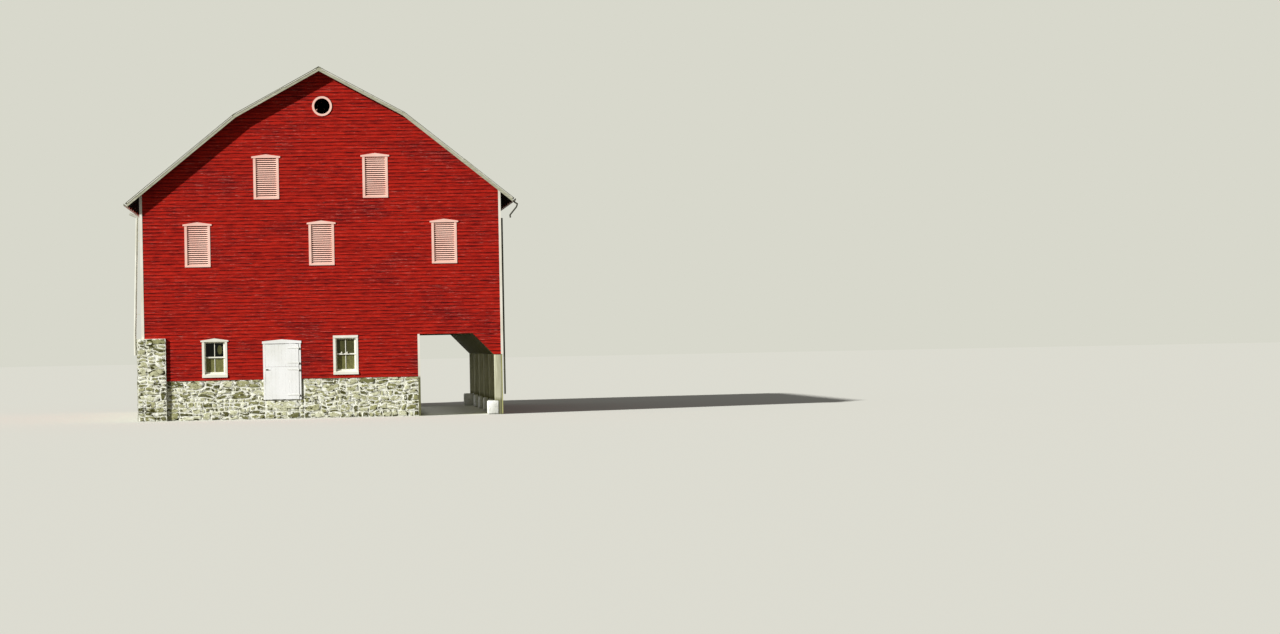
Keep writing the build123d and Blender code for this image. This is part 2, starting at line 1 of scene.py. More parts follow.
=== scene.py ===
# %% [markdown]
# # A red board barn, dressed from the outside in
# The solids of the barn come packed from CAD. They have the real sizes, so they are the frame that every
# piece below is built against. This lesson adds what a solid wall can't show: lapped siding, laid stones,
# planks, roof seams and paint.

# %% Load the frame
import json
import math
import random

import bpy
import numpy as np
from mathutils import Matrix, Vector, noise

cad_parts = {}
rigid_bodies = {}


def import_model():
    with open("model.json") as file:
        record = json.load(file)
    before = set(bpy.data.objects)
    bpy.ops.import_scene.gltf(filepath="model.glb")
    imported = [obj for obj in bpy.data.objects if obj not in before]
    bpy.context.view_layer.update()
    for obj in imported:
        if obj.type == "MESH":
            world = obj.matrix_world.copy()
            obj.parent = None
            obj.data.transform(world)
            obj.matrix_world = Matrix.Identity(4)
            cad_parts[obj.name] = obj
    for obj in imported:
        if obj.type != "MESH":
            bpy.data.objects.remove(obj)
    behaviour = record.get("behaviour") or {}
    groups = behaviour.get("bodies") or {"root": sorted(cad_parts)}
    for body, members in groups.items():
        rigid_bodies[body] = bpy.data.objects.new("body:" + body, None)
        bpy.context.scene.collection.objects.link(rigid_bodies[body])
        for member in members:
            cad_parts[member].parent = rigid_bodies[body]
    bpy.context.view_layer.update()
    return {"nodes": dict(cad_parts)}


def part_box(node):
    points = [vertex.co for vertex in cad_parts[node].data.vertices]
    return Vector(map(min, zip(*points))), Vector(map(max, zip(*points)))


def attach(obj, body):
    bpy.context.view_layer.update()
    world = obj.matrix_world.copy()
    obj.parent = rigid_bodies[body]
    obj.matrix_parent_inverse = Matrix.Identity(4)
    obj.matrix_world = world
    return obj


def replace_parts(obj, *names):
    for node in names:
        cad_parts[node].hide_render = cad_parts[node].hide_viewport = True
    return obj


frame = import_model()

nodes = frame["nodes"]

# %% [markdown]
# ## Helpers for working as by hand
# Blender's operators act on what is selected. The import leaves everything selected, so each step first
# selects one object alone. Faces are picked in code by where their middle is and which way they face, which
# does the job of a mouse click and keeps working when a size changes.

# %% Selecting and editing
def only(*pieces):
    bpy.ops.object.select_all(action="DESELECT")
    for piece in pieces:
        piece.select_set(True)
    bpy.context.view_layer.objects.active = pieces[0]


def edit(piece, rule=None, kind="FACE"):
    """Opens edit mode on one piece with the faces or edges that pass the rule selected."""
    only(piece)
    bpy.ops.object.mode_set(mode="EDIT")
    bpy.ops.mesh.select_mode(type=kind)
    bpy.ops.mesh.select_all(action="DESELECT" if rule else "SELECT")
    if rule:
        bpy.ops.object.mode_set(mode="OBJECT")
        mesh = piece.data
        if kind == "FACE":
            for face in mesh.polygons:
                face.select = rule(face.center, face.normal)
        else:
            for edge in mesh.edges:
                ends = [mesh.vertices[i].co for i in edge.vertices]
                edge.select = rule((ends[0] + ends[1]) / 2, ends[1] - ends[0])
        bpy.ops.object.mode_set(mode="EDIT")


def done():
    bpy.ops.object.mode_set(mode="OBJECT")


def cut(piece, spot, normal, trim=False):
    """Cuts a piece along a plane. With trim, the side that the normal points to comes off, capped."""
    edit(piece)
    bpy.ops.mesh.bisect(plane_co=spot, plane_no=normal, use_fill=trim, clear_outer=trim)
    done()


def ease(piece, rule, width):
    """Bevels the edges that pass the rule."""
    edit(piece, rule, "EDGE")
    bpy.ops.mesh.bevel(offset=width, segments=1)
    done()


def face_outwards(piece):
    edit(piece)
    bpy.ops.mesh.normals_make_consistent(inside=False)
    done()


def cube(name, low, high):
    """A box between two corners, with its place in its mesh."""
    low, high = Vector(low), Vector(high)
    only(*bpy.context.scene.objects[:1])
    bpy.ops.mesh.primitive_cube_add(size=1, location=(low + high) / 2)
    piece = bpy.context.object
    piece.scale = high - low
    bpy.ops.object.transform_apply(location=True, rotation=True, scale=True)
    piece.name = piece.data.name = name
    return piece


def apply_modifier(piece, kind, **settings):
    only(piece)
    modifier = piece.modifiers.new(kind, kind)
    for key, value in settings.items():
        setattr(modifier, key, value)
    bpy.ops.object.modifier_apply(modifier=modifier.name)


def discard(*pieces):
    for piece in pieces:
        bpy.data.objects.remove(piece)


print("helpers ready")

# %% [markdown]
# ## Copies with a tone of their own
# Siding, planks and stones repeat by the hundred. Each is modelled once, and a copy keeps the faces and gets
# its own corner positions. A number called tone, different on each copy, is stored on its vertices. A paint
# can read it later, so that neighbouring boards differ as real ones do.

# %% Copying and joining
def corners(piece):
    points = np.zeros(len(piece.data.vertices) * 3, np.float32)
    piece.data.vertices.foreach_get("co", points)
    return points.reshape(-1, 3).astype(float)


def placed(name, mesh):
    piece = bpy.data.objects.new(name, mesh)
    bpy.context.collection.objects.link(piece)
    return piece


def copied(master, points, tone):
    mesh = master.data.copy()
    mesh.vertices.foreach_set("co", points.astype(np.float32).ravel())
    piece = placed(master.name, mesh)
    retone(piece, tone)
    return piece


def retone(piece, tone):
    """Sets the tone of a piece again after a modifier has made new vertices."""
    mesh = piece.data
    tones = mesh.attributes.get("tone") or mesh.attributes.new("tone", "FLOAT", "POINT")
    tones.data.foreach_set("value", np.full(len(mesh.vertices), tone, np.float32))


def joined(name, pieces):
    only(*pieces)
    if len(pieces) > 1:
        bpy.ops.object.join()
    piece = bpy.context.object
    piece.name = piece.data.name = name
    return piece


def laid_in(name, pieces, kind):
    """Joins what a loop has laid and says how much that was."""
    print(name, len(pieces), kind)
    return joined(name, pieces)


def turned(piece, degrees, shift=(0, 0, 0)):
    """Turns a wall made for the front about the barn's middle."""
    piece.data.transform(Matrix.Translation(shift) @ Matrix.Rotation(math.radians(degrees), 4, "Z"))
    return piece


print("copies ready")

# %% [markdown]
# ## Sizes read from the frame
# The walls' faces come from the boxes of the CAD nodes. A box doesn't tell where a slope breaks, so the
# points of the roof line repeat the sizes of the CAD source. The course of the siding is counted in the
# photograph: twelve courses fill the lower storey.

# %% Planes of the barn
front_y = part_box("front_wall_middle")[0].y
side_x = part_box("forebay_wall")[1].x
base_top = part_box("front_wall_lower_left")[0].z
storey_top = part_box("front_wall_lower_left")[1].z
pier_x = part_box("front_wall_lower_left")[0].x
passage_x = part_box("front_wall_lower_right")[1].x
haunch_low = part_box("haunch_boards")[0]
haunch_top_x, haunch_low_z = haunch_low.x, haunch_low.z
haunch_low_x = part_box("forebay_posts")[0].x
courses_in_storey = 12
course = (storey_top - base_top) / courses_in_storey
eave_x, eave_z, break_x, break_z, apex_z = 6.685, 8.335, 3.110, 11.225, 12.925
lower_slope = (break_z - eave_z) / (eave_x - break_x)
upper_slope = (apex_z - break_z) / break_x
print("siding course", round(course * 1000, 1), "mm; gable face at y", round(front_y, 3))

# %% [markdown]
# ## One siding board
# Bevel siding is sawn as a wedge, thick at its lower edge, and each board laps over the one below. It could
# be a bump in the paint, but only a real edge throws a shadow in raking light. A cube is cut across in five
# places, so that a long board can bow a little, its upper edge is pushed back to make the wedge, and the
# lower front edge is rounded.

# %% The board that all siding copies
def siding_master():
    board = cube("siding_board", (0, -1, 0), (1, 0, 1))
    for i in range(1, 6):
        cut(board, (i / 6, 0, 0), (1, 0, 0))
    edit(board, lambda c, d: c.y < -0.9 and c.z > 0.9 and abs(d.x) > 0.01, "EDGE")
    bpy.ops.transform.translate(value=(0, 0.8, 0))
    done()
    ease(board, lambda c, d: c.y < -0.9 and c.z < 0.1 and abs(d.x) > 0.01, 0.12)
    return board


siding_board = siding_master()
siding_points = corners(siding_board)
siding_proud, siding_limit, siding_lap = 0.0165, 0.0190, 0.012
sag_spread, cup_spread, lift_spread = 0.0022, 0.0016, 0.0015
near_x, near_z = 0.4, 0.5
print("siding board:", len(siding_board.data.polygons), "faces")

# %% [markdown]
# ## Laying a wall of siding
# A carpenter works upwards, course by course, with joints that don't line up, and rips or notches a board
# where it meets a window. The loop does the same: it lays each course over the wall's width, leaves out what
# an opening takes, and fits narrow strips over and under it. All edges end behind the white trim.

# %% Siding courses
def course_strips(x0, x1, z0, z1, openings):
    """What is left of one course, as (x0, x1, z0, z1), when the openings are taken out."""
    strips = [(x0, x1, z0, z1)]
    for ox0, ox1, oz0, oz1 in openings:
        left = []
        for a, b, c, d in strips:
            if b <= ox0 or a >= ox1 or d <= oz0 or c >= oz1:
                left.append((a, b, c, d))
                continue
            if a < ox0:
                left.append((a, ox0, c, d))
            if b > ox1:
                left.append((ox1, b, c, d))
            if d > oz1:
                left.append((max(a, ox0), min(b, ox1), oz1, d))
            if c < oz0:
                left.append((max(a, ox0), min(b, ox1), c, oz0))
        strips = left
    return strips


def is_near(hole, x0, x1, z):
    """Whether a board is close enough to a round hole to be cut by it."""
    return x0 < hole.x + near_x and x1 > hole.x - near_x and abs(z - hole.z) < near_z


def cut_round(board, cutter):
    tone = board.data.attributes["tone"].data[0].value
    apply_modifier(board, "BOOLEAN", operation="DIFFERENCE", object=cutter, solver="EXACT")
    retone(board, tone)


def siding(name, areas, openings, seed, cutter=None):
    """Joined siding boards on areas (x0, x1, z0, z1) of a wall that faces -Y at y 0."""
    dice = random.Random(seed)
    boards = []
    for ax0, ax1, az0, az1 in areas:
        k = math.floor((az0 - base_top) / course + 0.001)
        while base_top + k * course < az1 - 0.01:
            z0, z1 = max(az0, base_top + k * course), min(az1, base_top + (k + 1) * course)
            k += 1
            for a, b, c, d in course_strips(ax0, ax1, z0, z1, openings):
                x = a
                reach = dice.uniform(0.8, 3.6)
                while x < b - 0.001:
                    end = b if b - (x + reach) < 0.6 else x + reach
                    board = one_board(x, end, c, d, dice)
                    if cutter and is_near(cutter.location, x, end, c):
                        cut_round(board, cutter)
                    boards.append(board)
                    x, reach = end, dice.choice((2.4, 3.0, 3.6, 4.2, 4.8)) * dice.uniform(0.9, 1.05)
    return laid_in(name, boards, "boards")


def one_board(x0, x1, z0, z1, dice):
    points = siding_points.copy()
    x, y, z = points.T
    high, along = z > 0.5, x.copy()
    sag, cup, lift = dice.gauss(0, sag_spread), abs(dice.gauss(0, cup_spread)), dice.gauss(0, lift_spread)
    x[:] = x0 + 0.001 + along * (x1 - x0 - 0.002)
    proud = siding_proud + cup * np.abs(along - 0.5) * 2 - 0.001
    y *= np.where(high, siding_proud, np.minimum(proud, siding_limit))
    wave = sag * np.sin(along * math.pi) + lift
    z[:] = np.where(high, z1 + siding_lap, z0 + z * course + wave)
    return copied(siding_board, points, dice.random())


def gable_cut(wall):
    """Cuts a gable's siding to the four slopes of the roof line."""
    for side in (-1, 1):
        for x, z, slope in ((eave_x, eave_z, lower_slope), (0, apex_z, upper_slope)):
            cut(wall, (side * x, 0, z), (side * slope, 0, 1), trim=True)


print("ready to lay siding")

# %% [markdown]
# ## Openings in the front gable
# Each opening is listed at the middle of its casing, so that a board's end is hidden under the white trim
# from every side. Louvres and windows share nodes, whose boxes don't tell one from another, so these places
# repeat the sizes of the CAD source.

# %% Where the siding stops
louvre_spots = [(-2.012, 8.158), (2.024, 8.158), (-4.580, 5.672), (-0.010, 5.672), (4.550, 5.672)]
vent_at = Vector((0.100, 0, 11.590))
louvre_half, louvre_foot, louvre_head = 0.424, 0.030, 1.555
louvre_gaps = [(x - louvre_half, x + louvre_half, z + louvre_foot, z + louvre_head) for x, z in louvre_spots]
window_gaps = [(-4.439, -3.603, 1.630, 2.925), (0.394, 1.230, 1.650, 3.000)]
door_gap = (-2.205, -0.888, 1.300, 2.835)
print(len(louvre_gaps) + len(window_gaps) + 1, "openings, and a round one that is cut to a circle")

# %% [markdown]
# ## The gables' siding
# The round vent needs a curved cut. The boards around it are laid with the rest, and a Boolean modifier
# takes out a cylinder that ends under the ring. The corner beside the passage has a slanted edge, so that
# area is laid by itself and cut with one more bisect before it joins the wall.

# %% Front and rear siding
siding_left, siding_right, siding_peak = -6.60, 6.62, 12.95
vent_cut_radius = 0.325
post_lap = 0.010


def gable_siding(name, gaps, lower_areas, seed):
    only(*bpy.context.scene.objects[:1])
    bpy.ops.mesh.primitive_cylinder_add(vertices=40, radius=vent_cut_radius, depth=0.2, location=vent_at,
                                        rotation=(math.pi / 2, 0, 0))
    cutter = bpy.context.object
    upper_area = (siding_left, siding_right, storey_top, siding_peak)
    wall = siding(name, lower_areas + [upper_area], gaps, seed, cutter)
    discard(cutter)
    gable_cut(wall)
    corner_area = (haunch_top_x - 0.05, siding_right, haunch_low_z, storey_top)
    corner = siding(name + "_corner", [corner_area], [], seed + 1)
    run, drop = haunch_low_x - post_lap - haunch_top_x, storey_top - haunch_low_z
    cut(corner, (haunch_top_x, 0, storey_top), (-drop, 0, -run), trim=True)
    return joined(name, [wall, corner])


lower_areas = [(pier_x, passage_x - 0.03, base_top, storey_top)]
front_siding = gable_siding("front_siding", louvre_gaps + window_gaps + [door_gap], lower_areas, 11)
front_siding.data.transform(Matrix.Translation((0, front_y, 0)))
rear_siding = gable_siding("rear_siding", louvre_gaps, lower_areas, 23)
rear_siding.data.transform(Matrix.Scale(-1, 4, (0, 1, 0)) @ Matrix.Translation((0, front_y, 0)))
face_outwards(rear_siding)
print("gable siding:", len(front_siding.data.polygons), "faces in front")

# %% [markdown]
# ## The long walls' siding
# The eave walls run 18.3 metres and have no opening that the photograph shows. They are laid as if they
# faced the camera, and then turned into place.

# %% Bank side and forebay side
wall_length = -2 * front_y
end = wall_length / 2 - 0.06
eave_wall_top = 8.39
bank_siding = siding("bank_siding", [(-end, end, storey_top, eave_wall_top)], [], 37)
turned(bank_siding, -90, (-side_x, 0, 0))
forebay_siding = siding("forebay_siding", [(-end, end, haunch_low_z, eave_wall_top)], [], 41)
turned(forebay_siding, 90, (side_x, 0, 0))
discard(siding_board)
sided = (front_siding, rear_siding, bank_siding, forebay_siding)
for wall in sided:
    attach(wall, "barn")
print("siding triangles:", sum(len(face.vertices) - 2 for wall in sided for face in wall.data.polygons))

# %% [markdown]
# ## Rubble stones
# The base is rubble: field stones of many sizes, set in wide pale mortar. The CAD wall serves as the mortar
# bed, and each stone is a low pillow that stands out of it. Six stones are modelled from a grid that is
# rounded toward a sphere, extruded to a body and pushed out in the middle. Copies are stretched into the
# cells of a loose bond, and then the whole wall is warped by smooth noise, so that no joint stays straight.

# %% Stones to copy
def stone_master(index):
    only(*bpy.context.scene.objects[:1])
    bpy.ops.mesh.primitive_grid_add(x_subdivisions=4, y_subdivisions=4, size=1)
    stone = bpy.context.object
    stone.name = f"stone_{index}"
    edit(stone)
    bpy.ops.transform.tosphere(value=0.32)
    bpy.ops.mesh.extrude_region_move(TRANSFORM_OT_translate={"value": (0, 0, 1)})
    done()
    edit(stone, lambda c, n: c.z > 0.99 and max(abs(c.x), abs(c.y)) < 0.3)
    bpy.ops.transform.translate(value=(0, 0, 0.35))
    done()
    edit(stone, lambda c, n: c.z > 0.5)
    bpy.ops.transform.vertex_random(offset=0.055, uniform=1.0, normal=0.0, seed=index)
    done()
    stone.data.transform(Matrix.Rotation(math.pi / 2, 4, "X"))
    edit(stone, lambda c, n: c.y > -0.01)
    bpy.ops.mesh.dissolve_faces()
    done()
    face_outwards(stone)
    rim = stone.data.attributes.new("rim", "FLOAT", "POINT")
    rim.data.foreach_set("value", [float(v.co.y > -1.02) for v in stone.data.vertices])
    return stone


stones = [stone_master(i) for i in range(6)]
stone_points = [corners(s) for s in stones]
print("stones:", [len(s.data.polygons) for s in stones], "faces each")

# %% [markdown]
# ## Laying the stones
# Rows differ in height, a thin stone is sometimes doubled with another, and a large one may fill its place
# alone. Near the edges of a wall the warp fades, so that corners, sills and the top stay true. The noise
# of Blender starts from the clock unless it gets a seed, so it is given one, and each run lays the same
# stones.

# %% Loose bond of stones
noise.seed_set(1)
row_heights = (0.13, 0.17, 0.21, 0.26, 0.31)
stone_shapes = (0.8, 1.1, 1.5, 2.0, 2.6)
joint_width, stone_proud, stone_tilt = (0.020, 0.060), (0.008, 0.0185), (-0.14, 0.14)
warp_size, warp_scale, fade_width = 0.115, 2.6, 0.22


def stone_cells(x0, x1, z0, z1, dice):
    cells = []
    z = z0
    while z < z1 - 0.02:
        high = dice.choice(row_heights)
        top = z1 if z1 - (z + high) < 0.13 else z + high
        x = x0
        while x < x1 - 0.01:
            wide = (top - z) * dice.choice(stone_shapes)
            right = x1 if x1 - (x + wide) < 0.16 else x + wide
            if top - z > 0.21 and dice.random() < 0.4:
                mid = z + (top - z) * dice.uniform(0.35, 0.65)
                cells += [(x, right, z, mid), (x, right, mid, top)]
            else:
                cells.append((x, right, z, top))
            x = right
        z = top
    return cells


def rubble(name, areas, seed):
    """Joined stones on areas of a wall that faces -Y at y 0."""
    dice = random.Random(seed)
    laid = []
    for x0, x1, z0, z1 in areas:
        for a, b, c, d in stone_cells(x0, x1, z0, z1, dice):
            kind = dice.randrange(len(stones))
            joint = dice.uniform(*joint_width)
            points = stone_points[kind].copy()
            x, y, z = points.T
            if dice.random() < 0.5:
                x *= -1
                z *= -1
            u = (a + b) / 2 + x * (b - a - joint)
            v = (c + d) / 2 + z * (d - c - joint)
            tilt = dice.uniform(*stone_tilt)
            u, v = u + (v - (c + d) / 2) * tilt, v - (u - (a + b) / 2) * tilt
            inside = np.minimum(np.minimum(u - x0, x1 - u), np.minimum(v - z0, z1 - v))
            fade = np.clip(inside / fade_width, 0, 1)
            spots = [Vector((s * warp_scale, t * warp_scale, seed)) for s, t in zip(u, v)]
            warp = np.array([noise.noise_vector(spot) for spot in spots])
            x[:] = np.clip(u + warp[:, 0] * warp_size * fade, x0 + 0.002, x1 - 0.002)
            z[:] = np.clip(v + warp[:, 2] * warp_size * fade, z0 + 0.002, z1 - 0.002)
            y *= dice.uniform(*stone_proud)
            laid.append(copied(stones[kind], points, dice.random()))
    return laid_in(name, laid, "stones")


base_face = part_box("front_stone_base")[0].y
base_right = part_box("front_stone_base")[1].x
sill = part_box("door_sill")
recess_x = -0.760
front_areas = [
    (pier_x, sill[0].x, 0.0, base_top),
    (sill[0].x, sill[1].x, 0.0, sill[1].z - 0.01),
    (sill[1].x, recess_x, 0.0, sill[1].z - 0.01),
    (recess_x, base_right, 0.0, base_top),
]
front_stones = rubble("front_stones", front_areas, 5)
front_stones.data.transform(Matrix.Translation((0, base_face, 0)))

# %% [markdown]
# ## The other stone walls
# The bank wall ends in a pier at each gable, so it shows five faces. Each is laid as if it faced the camera
# and then turned into place, as is the rear base and the stable's side of the passage.

# %% Stones of the bank wall, the rear base and the stable's side
bank_low, bank_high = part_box("bank_stone_wall")
bank_faces = [
    ("bank_face", bank_low.y, bank_high.y, 9, -90, (bank_low.x, 0, 0)),
    ("pier_face", bank_low.x, pier_x, 7, 0, (0, bank_low.y, 0)),
    ("pier_rear", -pier_x, -bank_low.x, 8, 180, (0, bank_high.y, 0)),
    ("pier_side", bank_low.y, base_face, 10, 90, (pier_x, 0, 0)),
    ("pier_back", -base_face, bank_high.y, 12, 90, (pier_x, 0, 0)),
]
bank_stones = joined("bank_stones", [
    turned(rubble(name, [(left, right, 0.0, storey_top)], seed), degrees, shift)
    for name, left, right, seed, degrees, shift in bank_faces])
rear_stones = rubble("rear_stones", [(-base_right, -pier_x, 0.0, base_top)], 13)
turned(rear_stones, 180, (0, -base_face, 0))
stable_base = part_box("stable_stone_base")
stable_stones = rubble("stable_stones", [(base_face + 0.10, -base_face - 0.10, 0.0, base_top)], 14)
turned(stable_stones, 90, (stable_base[1].x, 0, 0))
discard(*stones)
stony = (front_stones, bank_stones, rear_stones, stable_stones)
for wall in stony:
    only(wall)
    bpy.ops.object.shade_smooth_by_angle(angle=math.radians(50))
    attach(wall, "barn")
print("stone faces:", [len(wall.data.polygons) for wall in stony])

# %% [markdown]
# ## Planks
# The door, the passage walls and the sloping boards are rows of planks. One plank is a box with its long
# front edges eased, which gives the V groove that shows as a line where two planks meet. Each copy gets its
# own width, a little slack in the joint, and an uneven foot.

# %% One plank, laid in rows
def plank_master():
    plank = cube("plank", (0, -1, 0), (1, 0, 1))
    ease(plank, lambda c, d: c.y < -0.9 and abs(d.z) > 0.01, 0.04)
    cut(plank, (0, 0, 0.5), (0, 0, 1))
    return plank


plank = plank_master()
plank_points = corners(plank)


def planks(name, x0, x1, z0, z1, thick, width, gap, seed, groove=0.004, foot=0.0, head=0.0):
    """Upright planks from x0 to x1, their faces at y 0 towards -Y and their backs at y thick."""
    dice = random.Random(seed)
    count = max(1, round((x1 - x0) / width))
    edges = [x0 + (x1 - x0) * i / count for i in range(count + 1)]
    edges = [e + (dice.uniform(-0.14, 0.14) * width if 0 < i < count else 0) for i, e in enumerate(edges)]
    laid = []
    for a, b in zip(edges, edges[1:]):
        points = plank_points.copy()
        x, y, z = points.T
        w = b - a - gap
        eased = (x > 0.001) & (x < 0.999)
        x[:] = a + gap / 2 + np.where(eased, np.where(x < 0.5, groove, w - groove), x * w)
        sunk = (y > -0.99) & (y < -0.01)
        y[:] = np.where(sunk, groove, np.where(y < -0.5, 0.0, thick)) + dice.uniform(0, 0.0015)
        low = z0 + dice.uniform(0, 1) * foot
        high = z1 - dice.uniform(0, 1) * head
        bow = dice.gauss(0, gap * 0.4)
        x += np.where(np.abs(z - 0.5) < 0.1, bow, 0)
        z[:] = low + z * (high - low)
        laid.append(copied(plank, points, dice.random()))
    return laid_in(name, laid, "planks")


print("plank:", len(plank.data.polygons), "faces")

# %% [markdown]
# ## The split door
# Both leaves are narrow upright boards held by two battens behind. The boards of the upper leaf end at
# slightly different heights, which leaves the dark line that the photograph shows under the head. Each leaf
# stands for its CAD solid and rides on the same body, so it swings with its straps.

# %% Door leaves
leaf_thick, leaf_plank, leaf_joint, leaf_groove = 0.040, 0.123, 0.0010, 0.0028
batten_high, batten_inset, batten_foot, batten_head = 0.130, 0.040, 0.090, 0.220


def door_leaf(name, node, body, seed, foot, head):
    low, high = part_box(node)
    leaf = planks(name, low.x, high.x, low.z, high.z, leaf_thick, leaf_plank, leaf_joint, seed, leaf_groove,
                  foot, head)
    leaf.data.transform(Matrix.Translation((0, low.y, 0)))
    battens = []
    left, right, back = low.x + batten_inset, high.x - batten_inset, low.y + leaf_thick + 0.0015
    for z in (low.z + batten_foot, high.z - batten_head):
        batten = cube("batten", (left, back, z), (right, high.y, z + batten_high))
        apply_modifier(batten, "BEVEL", width=0.006, segments=1)
        battens.append(batten)
    leaf = joined(name, [leaf] + battens)
    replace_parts(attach(leaf, body), node)
    return leaf


upper_leaf = door_leaf("upper_leaf_planks", "upper_leaf_boards", "upper_door_leaf", 51, 0.0, 0.020)
lower_leaf = door_leaf("lower_leaf_planks", "lower_leaf_boards", "lower_door_leaf", 52, 0.012, 0.0)

# %% [markdown]
# ## Boards of the passage
# The outer wall of the passage is wide, weathered boards nailed upright to the posts, with daylight in a few
# joints. The slope above them is boarded the same way, so its planks are laid upright and then leaned over
# about their foot until they fit between the posts and the floor.

# %% Board wall and sloping boards
wall_low, wall_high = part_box("forebay_board_wall")
thick = wall_high.x - wall_low.x
board_wall = planks("board_wall_planks", wall_low.y, wall_high.y, 0.0, wall_high.z, thick,
                    width=0.235, gap=0.005, seed=61, groove=0.003, foot=0.030)
turned(board_wall, -90, (wall_low.x, 0, 0))
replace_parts(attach(board_wall, "barn"), "forebay_board_wall")

lean_low, lean_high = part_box("haunch_boards")
drop = lean_high.z - lean_low.z
shift = haunch_low_x - post_lap - haunch_top_x
slope_length = math.hypot(drop, shift)
sloping = planks("haunch_planks", lean_low.y, lean_high.y, 0.0, slope_length, thick=0.028, width=0.215,
                 gap=0.006, seed=62, groove=0.003)
lean = Matrix.Rotation(-math.atan2(shift, drop), 4, "Y")
stand = Matrix.Translation((haunch_low_x - post_lap, 0, lean_low.z)) @ lean
sloping.data.transform(stand @ Matrix.Rotation(-math.pi / 2, 4, "Z"))
for cut_z, up in ((lean_low.z, -1), (lean_high.z, 1)):
    cut(sloping, (0, 0, cut_z), (0, 0, up), trim=True)
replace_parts(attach(sloping, "barn"), "haunch_boards")

stable_low, stable_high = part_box("stable_wall")
lining_thick = 0.018
stable_planks = planks("stable_planks", stable_low.y, stable_high.y, base_top, storey_top - 0.002,
                       lining_thick, width=0.22, gap=0.003, seed=63, groove=0.003)
turned(stable_planks, 90, (stable_high.x + lining_thick, 0, 0))
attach(stable_planks, "barn")
discard(plank)
across = corners(sloping)[:, 0]
print("sloping boards from", round(across.min(), 3), "to", round(across.max(), 3))

# %% [markdown]
# ## Standing seams
# The roof is sheet metal in strips, and each joint is folded up into a rib that runs from the eave to the
# ridge. One rib starts as a small box at the eave. Its upper end is extruded along the lower slope to the
# break, and once more along the upper slope, so the bend is part of the rib. It is then copied along the
# roof, and the whole row is mirrored to the other side.

# %% Roof ribs
metal_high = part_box("forebay_roof_metal")[1]
rib_lift, ridge_gap, gable_gap = 0.100, 0.150, 0.340
rib_half, rib_high, rib_count = 0.010, 0.026, 41


def roof_point(x, up):
    """A point on the roof line at distance x from the ridge, raised square to the slope."""
    low = eave_z + (eave_x - x) * lower_slope + up * math.hypot(1, lower_slope)
    high = apex_z - x * upper_slope + up * math.hypot(1, upper_slope)
    return Vector((x, 0, min(low, high)))


rib_break = (eave_z + eave_x * lower_slope + rib_lift * math.hypot(1, lower_slope) - apex_z
             - rib_lift * math.hypot(1, upper_slope)) / (lower_slope - upper_slope)


def rib_master():
    foot, bend, top = (roof_point(x, rib_lift) for x in (metal_high.x - 0.004, rib_break, ridge_gap))
    rib = cube("roof_rib", (foot.x - 0.020, -rib_half, foot.z - 0.004), (foot.x, rib_half, foot.z + rib_high))
    edit(rib, lambda c, n: n.x < -0.9)
    bpy.ops.mesh.extrude_region_move(TRANSFORM_OT_translate={"value": bend - foot + Vector((0.020, 0, 0))})
    bpy.ops.mesh.extrude_region_move(TRANSFORM_OT_translate={"value": top - bend})
    done()

    def on_top(middle, along):
        raised = middle.z > roof_point(middle.x, rib_lift).z + 0.010
        return abs(middle.y) > 0.009 and raised and abs(along.y) < 0.001

    ease(rib, on_top, 0.006)
    return rib


rib = rib_master()
rib_points = corners(rib)
rib_end = metal_high.y - gable_gap
rows = []
for i in range(rib_count):
    points = rib_points.copy()
    points[:, 1] += -rib_end + 2 * rib_end * i / (rib_count - 1)
    rows.append(copied(rib, points, random.Random(i).random()))
forebay_ribs = joined("forebay_roof_ribs", rows)
bank_ribs = placed("bank_roof_ribs", forebay_ribs.data.copy())
bank_ribs.data.transform(Matrix.Scale(-1, 4, (1, 0, 0)))
face_outwards(bank_ribs)
discard(rib)
for ribs in (forebay_ribs, bank_ribs):
    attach(ribs, "barn")
print(rib_count, "ribs a side,", round(2 * rib_end / (rib_count - 1), 3), "m apart")

# %% [markdown]
# ## Worn footings and posts
# The footings are rounded lumps under many coats of whitewash, and the posts have lost their sharp corners.
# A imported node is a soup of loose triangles, so its copy is merged and its flat faces dissolved first. Only
# then does a bevel find the real edges to round.

# %% Rounded copies of two nodes
def rounded(name, node, width, segments):
    piece = placed(name, nodes[node].data.copy())
    piece.data.transform(nodes[node].matrix_world)
    edit(piece)
    bpy.ops.mesh.remove_doubles(threshold=0.0002)
    bpy.ops.mesh.dissolve_limited(angle_limit=math.radians(2))
    done()
    apply_modifier(piece, "BEVEL", width=width, segments=segments, limit_method="ANGLE")
    only(piece)
    bpy.ops.object.shade_smooth_by_angle(angle=math.radians(40))
    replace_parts(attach(piece, "barn"), node)
    print(name, len(piece.data.polygons), "faces")
    return piece


footings = rounded("rounded_footings", "post_footings", 0.055, 3)
posts = rounded("worn_posts", "forebay_posts", 0.012, 2)

# %% [markdown]
# ## Flashing along the rakes
# A folded strip of sheet covers the joint between the roof and the rake board. It was nailed on in lengths,
# and wind has lifted some of them, so in the photograph a dark gap opens and closes along the edge. A strip
# is one thin box with four cuts. Each copy is laid along a slope and bowed by its own lift.

# %% Lifted strips of flashing
def flashing_master():
    strip = cube("flashing_strip", (0, -1, 0), (1, 0, 1))
    for i in range(1, 5):
        cut(strip, (i / 5, 0, 0), (1, 0, 0))
    return strip


strip = flashing_master()
strip_points = corners(strip)
strip_low, strip_high = 0.048, 0.088
strip_reach, strip_thick, strip_splay, eave_stop = 0.3515, 0.0012, 0.0090, 7.09


